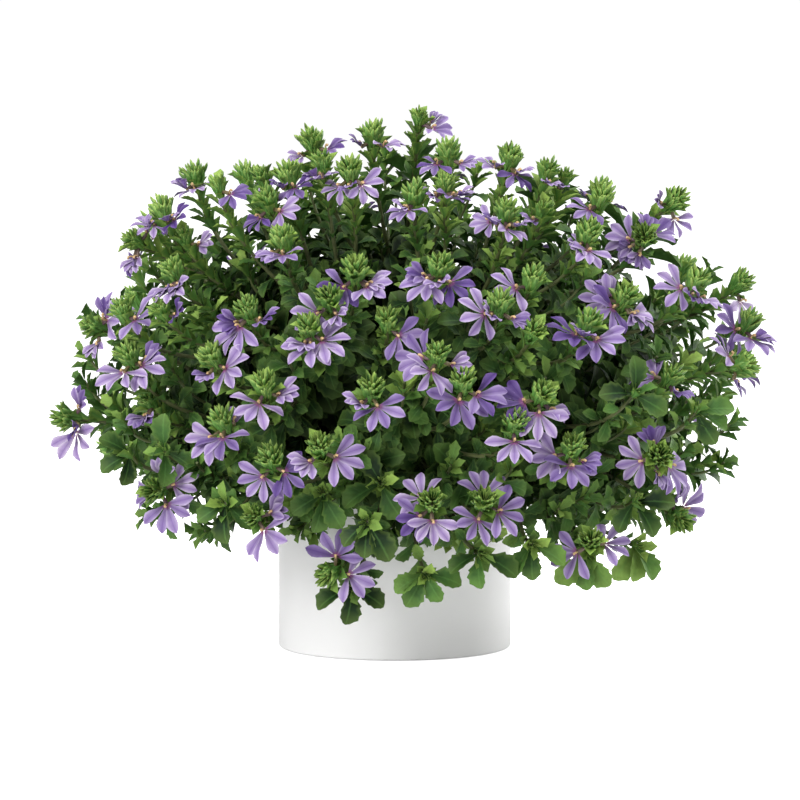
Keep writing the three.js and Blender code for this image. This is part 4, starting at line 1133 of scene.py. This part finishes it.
leaf_draws = random.Random(41)
large_spots, small_spots = [], []
for shoot in shoots + twigs:
    leaves_along(shoot, leaf_draws, large_spots, small_spots)
for shoot in shoots:
    foot, aim = shoot["foot"], shoot["aim"]
    for hour in shoot.get("leaf_hours", []):
        normal = TO_VIEWER * 0.8 + UP * 0.5 + ACROSS * leaf_draws.uniform(-0.8, 0.8)
        size = leaf_draws.uniform(0.85, 1.05)
        shade = clamped(shoot["tint"] + leaf_draws.uniform(-0.4, 0.08))
        turned_leaf = facing(clock_direction(hour, 0.25), normal)
        large_spots.append((foot, turned_leaf, (size * 1.1, size, size), shade))
    for level, below in enumerate(shoot.get("rounds", [])):
        for k in range(3):
            outward = sideways(aim, math.radians(120 * k + 60 * level))
            turned_leaf = facing(outward + aim * 0.36, aim)
            # Painted shade: leaves round inner shoots take a low, dark tint for the shade inside the
            # mound.
            spot = (foot - aim * below, turned_leaf, (INNER_LEAF,) * 3, INNER_LEAF_PAINTED_SHADE)
            large_spots.append(spot)

leaf_green = leaf_finish(
    "leaf green", (0.008, 0.030, 0.006), (0.062, 0.160, 0.029), (0.27, 0.41, 0.080), 0.2, 0.75, 0.58
)
outer_spots = [spot for spot in large_spots if depth_share(spot[0]) >= INNER_DEPTH]
inner_spots = [spot for spot in large_spots if depth_share(spot[0]) < INNER_DEPTH]
for name, form, spots, seed in (
    ("large_leaves", large_leaf_form(), outer_spots, 7),
    ("inner_leaves", inner_leaf_form(), inner_spots, 10),
    ("small_leaves", small_leaf_form(), small_spots, 8),
):
    piece_of(name, strewn(name, form, spots, leaf_green, 0.1, seed), "foliage")


# Blooms. Each is a tube split along its top, whose five narrow petals spread to one side as an
# open fan. They are thin and soft, lilac with paler edges, a violet midline and a reddish foot.
PETALS = 5
PETAL_LENGTH = 0.0155
PETAL_WIDTH = 0.0059
PETAL_THICKNESS = 0.00035
PETAL_SPACING = math.radians(39)
PETAL_FROM_THROAT = 0.0006
OPEN_SIZES = (0.92, 1.08)
OPEN_CUPS = (-0.1, 0.28)
YOUNG_SIZES = (0.7, 0.88)
YOUNG_CUPS = (0.45, 0.8)
YOUNG_SPACING = 0.62
THROAT_FROM_STEM = 0.0076
YOUNG_REACH = 0.9
BLOOM_BELOW_TUFT = 0.0022
CROWN_SHRINK = 0.24


def petal_form():
    """One petal: narrow at its foot, widest past its middle, with thin wings and a point."""
    stations = [
        (0.1, 0.26, 0.005), (0.36, 0.62, 0.03), (0.57, 0.92, 0.05, 0.05), (0.73, 1.0, 0.045, 0.07),
        (0.87, 0.72, 0.02, 0.04), (0.95, 0.34, -0.01), (1.0, 0.0, -0.04),
    ]
    crossing = [(-1.0, 0.0), (-0.4, 0.035), (0.0, 0.0), (0.4, 0.035), (1.0, 0.0)]
    return blade("petal", stations, crossing, PETAL_LENGTH, PETAL_WIDTH, PETAL_THICKNESS)


def bloom_frames():
    """Every bloom: its throat, the way its fan opens, the fan's upper side, and its kind. Those
    of the crown are smaller and face the viewer less."""
    vary = random.Random(50)
    frames = []
    for shoot in shoots:
        aim = shoot["aim"]
        viewer = TO_VIEWER if shoot.get("front") else -TO_VIEWER
        seat = shoot["foot"] - aim * BLOOM_BELOW_TUFT
        kinds = [(hour, True) for hour in shoot.get("open", [])]
        kinds += [(hour, False) for hour in shoot.get("side", [])]
        high = crown_share(shoot["place"])
        radial = Vector((shoot["place"].x, shoot["place"].y, 0)).normalized()
        for hour, is_open in kinds:
            turn = math.radians(hour * 30)
            outward = ACROSS * math.sin(turn) + UP * math.cos(turn)
            outward += viewer * (0.45 - 0.5 * math.cos(turn) * max(0, aim.z))
            outward = (outward - aim * outward.dot(aim)).normalized()
            centre = (outward - aim * 0.25).normalized()
            normal = aim + (radial * 0.9 + viewer * 0.5) * (1 - 0.6 * high)
            normal = normal + UP * 0.25 - outward * 0.25
            normal = Matrix.Rotation(vary.uniform(-0.4, 0.4), 3, centre) @ normal
            centre = Matrix.Rotation(vary.uniform(-0.2, 0.25), 3, normal.cross(centre)) @ centre
            normal = (normal - centre * normal.dot(centre)).normalized()
            throat = seat + outward * THROAT_FROM_STEM * (1 if is_open else YOUNG_REACH)
            frames.append({
                "seat": seat, "throat": throat, "centre": centre, "normal": normal,
                "open": is_open, "aim": aim, "size": 1 - CROWN_SHRINK * high,
            })
    return frames


blooms = bloom_frames()


def petal_spots():
    """Five petals a bloom. An open bloom's lie in a flat fan, those of one not yet open are folded up.
    """
    vary = random.Random(51)
    spots = []
    for bloom in blooms:
        centre, normal = bloom["centre"], bloom["normal"]
        size = vary.uniform(*(OPEN_SIZES if bloom["open"] else YOUNG_SIZES)) * bloom["size"]
        spacing = PETAL_SPACING * (vary.uniform(0.92, 1.08) if bloom["open"] else YOUNG_SPACING)
        cup = vary.uniform(*(OPEN_CUPS if bloom["open"] else YOUNG_CUPS))
        tint = vary.uniform(0.0, 1.0)
        for k in range(PETALS):
            angle = (k - PETALS // 2) * spacing + vary.uniform(-0.1, 0.1)
            direction = Matrix.Rotation(angle, 3, normal) @ centre
            tip = cup + vary.uniform(-0.14, 0.14)
            curl = Matrix.Rotation(-tip, 3, normal.cross(direction))
            direction = curl @ direction
            roll = Matrix.Rotation(vary.uniform(-0.35, 0.35), 3, direction)
            turned_petal = facing(direction, roll @ (curl @ normal))
            place = bloom["throat"] + direction * PETAL_FROM_THROAT
            wide = size * vary.uniform(0.92, 1.08)
            shape = (wide, size * vary.uniform(0.93, 1.05), size)
            spots.append((place, turned_petal, shape, clamped(tint + vary.uniform(-0.2, 0.2))))
    return spots


def petal_finish():
    """Petal skin: lilac that pales outward, with a faint violet midline, fine lines and a
    reddish foot."""
    material, tree, shader = new_material("lilac petal", 0.55)
    along, across = attribute(tree, "along"), attribute(tree, "across")
    marks = applied(tree, blade_marks, Along=along, Across=across)
    body = ramp(
        tree, math_on(tree, "ABSOLUTE", across),
        [(0.0, (0.26, 0.175, 0.375)), (0.5, (0.34, 0.255, 0.45)), (1.0, (0.54, 0.465, 0.605))],
    )
    body = blend(tree, math_on(tree, "MULTIPLY", marks["Midline"], 0.4), body, (0.17, 0.09, 0.33))
    lines = math_on(tree, "PINGPONG", math_on(tree, "MULTIPLY", across, 4.5), 0.5)
    body = blend(tree, 1.0, body, remapped(tree, lines, 0.0, 0.5, 0.88, 1.0), "MULTIPLY")
    # Partly painted shade: whole blooms are darkened at random by their tint, for their own spread of
    # tone and for blooms in shade.
    depth = ramp(
        tree, attribute(tree, "tint"),
        [(0.0, (0.27, 0.19, 0.45)), (0.42, (0.82, 0.78, 0.91)), (1.0, (1.0, 1.0, 1.0))],
    )
    body = blend(tree, 1.0, body, depth, "MULTIPLY")
    body = applied(tree, uneven_colour, Color=body, Scale=170.0, Darkest=0.82)["Color"]
    body = blend(tree, 1.0, body, remapped(tree, along, 0.1, 0.6, 0.66, 1.0), "MULTIPLY")
    foot = ramp(tree, along, [(0.0, (1.0,) * 3), (0.06, (0.9,) * 3), (0.2, (0.0,) * 3)])
    body = blend(tree, foot, body, (0.20, 0.055, 0.16))
    body = blend(tree, attribute(tree, "under"), body, (0.24, 0.155, 0.42))
    grain = applied(tree, fine_grain, Scale=1400.0, Depth=0.00008, Strength=0.6)
    feed(tree, shader, {"Base Color": body, "Normal": grain["Normal"], "Specular IOR Level": 0.25})
    return material


bloom_nodes = sorted(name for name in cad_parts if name.startswith("blooms_"))
petal_mesh = strewn("petals", petal_form(), petal_spots(), petal_finish(), 0.04, 9)
piece_of("petals", petal_mesh, "petals", *bloom_nodes)


# Flower tubes. Each bloom's narrow tube, reddish brown to olive, runs from the stem to its
# throat, where a short cream style bends out over the fan.
TUBE_FOOT_RADIUS = 0.0007
TUBE_THROAT_RADIUS = 0.0013
TUBE_BEND = 0.0012
TUBE_SIDES = 6
STYLE_LENGTH = 0.0042
STYLE_RADIUS = 0.0005
STYLE_TINT = 0.5
STYLE_COURSE = [(0.0, 0.0, 1.0), (0.5, 0.0, 1.0), (0.8, 0.0009, 1.4), (0.75, 0.0019, 1.5)]

tube_paths, style_paths = [], []
tube_draws = random.Random(61)
for bloom in blooms:
    seat, throat = bloom["seat"], bloom["throat"]
    middle = seat.lerp(throat, 0.5) + bloom["aim"] * TUBE_BEND
    path = [seat, seat.lerp(middle, 0.6), middle, middle.lerp(throat, 0.6), throat]
    radii = np.linspace(TUBE_FOOT_RADIUS, TUBE_THROAT_RADIUS, len(path))
    tube_paths.append((path, radii, tube_draws.uniform(0.0, 1.0)))
    over, out = bloom["normal"] * STYLE_LENGTH, bloom["centre"]
    style = [throat + over * height + out * ahead for height, ahead, _ in STYLE_COURSE]
    style_paths.append((style, [STYLE_RADIUS * swell for _, _, swell in STYLE_COURSE], STYLE_TINT))

tube_skin = tinted_skin("flower tube", 0.55, (0.10, 0.045, 0.075), (0.16, 0.13, 0.05), 500.0)
style_skin = tinted_skin("style cream", 0.5, (0.54, 0.33, 0.15), (0.70, 0.50, 0.25), 500.0)
piece_of("flower_tubes", tubes("flower_tubes", tube_paths, TUBE_SIDES, tube_skin), "petals")
piece_of("styles", tubes("styles", style_paths, TUBE_SIDES, style_skin), "petals")


# Floor and light. A plain pale paper floor under a large soft light from the left, with weaker
# ones in front, above and behind on the right.
FLOOR_REACH = 9
FLOOR_DROP = 0.0004
LIT_POINT = Vector((0, 0, 0.15))
WHITE = (1.0, 1.0, 1.0)


def floor_finish():
    """Plain pale paper that looks evenly lit to the camera."""
    material, tree, shader = new_material("pale floor", 0.9)
    paper = applied(tree, uneven_colour, Color=(0.93, 0.93, 0.93), Scale=3.0, Darkest=0.98)
    seen = add_node(tree, "ShaderNodeLightPath", {}).outputs["Is Camera Ray"]
    glow = {"Emission Color": WHITE, "Emission Strength": math_on(tree, "MULTIPLY", seen, 0.8)}
    feed(tree, shader, {"Base Color": paper["Color"], **glow})
    return material


corners = [(-1, -1), (1, -1), (1, 1), (-1, 1)]
floor_mesh = bpy.data.meshes.new("floor")
floor_mesh.from_pydata([(x * FLOOR_REACH, y * FLOOR_REACH, 0) for x, y in corners], [], [(0, 1, 2, 3)])
floor_mesh.materials.append(floor_finish())
floor = in_scene("floor", floor_mesh)
floor.location.z = -FLOOR_DROP


def soft_light(name, place, size, power):
    """A large square light that faces the plant."""
    lamp = bpy.data.lights.new(name, "AREA")
    lamp.size = size
    lamp.energy = power
    light = in_scene(name, lamp)
    light.location = place
    light.rotation_euler = (LIT_POINT - Vector(place)).to_track_quat("-Z", "Y").to_euler()


soft_light("key", (-1.4, -1.75, 1.3), 1.2, 57)
soft_light("fill", (0.6, -2.2, 1.0), 1.4, 2)
soft_light("rim", (1.4, 0.9, 0.6), 0.9, 20)
soft_light("above", (0.6, -0.2, 1.7), 1.0, 26)

world = bpy.data.worlds.new("studio")
bpy.context.scene.world = world
world.use_nodes = True
sky = world.node_tree
seen = add_node(sky, "ShaderNodeLightPath", {}).outputs["Is Camera Ray"]
brightness = remapped(sky, seen, 0.0, 1.0, 0.52, 1.02)
feed(sky, sky.nodes["Background"], {"Color": WHITE, "Strength": brightness})
bpy.context.scene.view_settings.view_transform = "Standard"
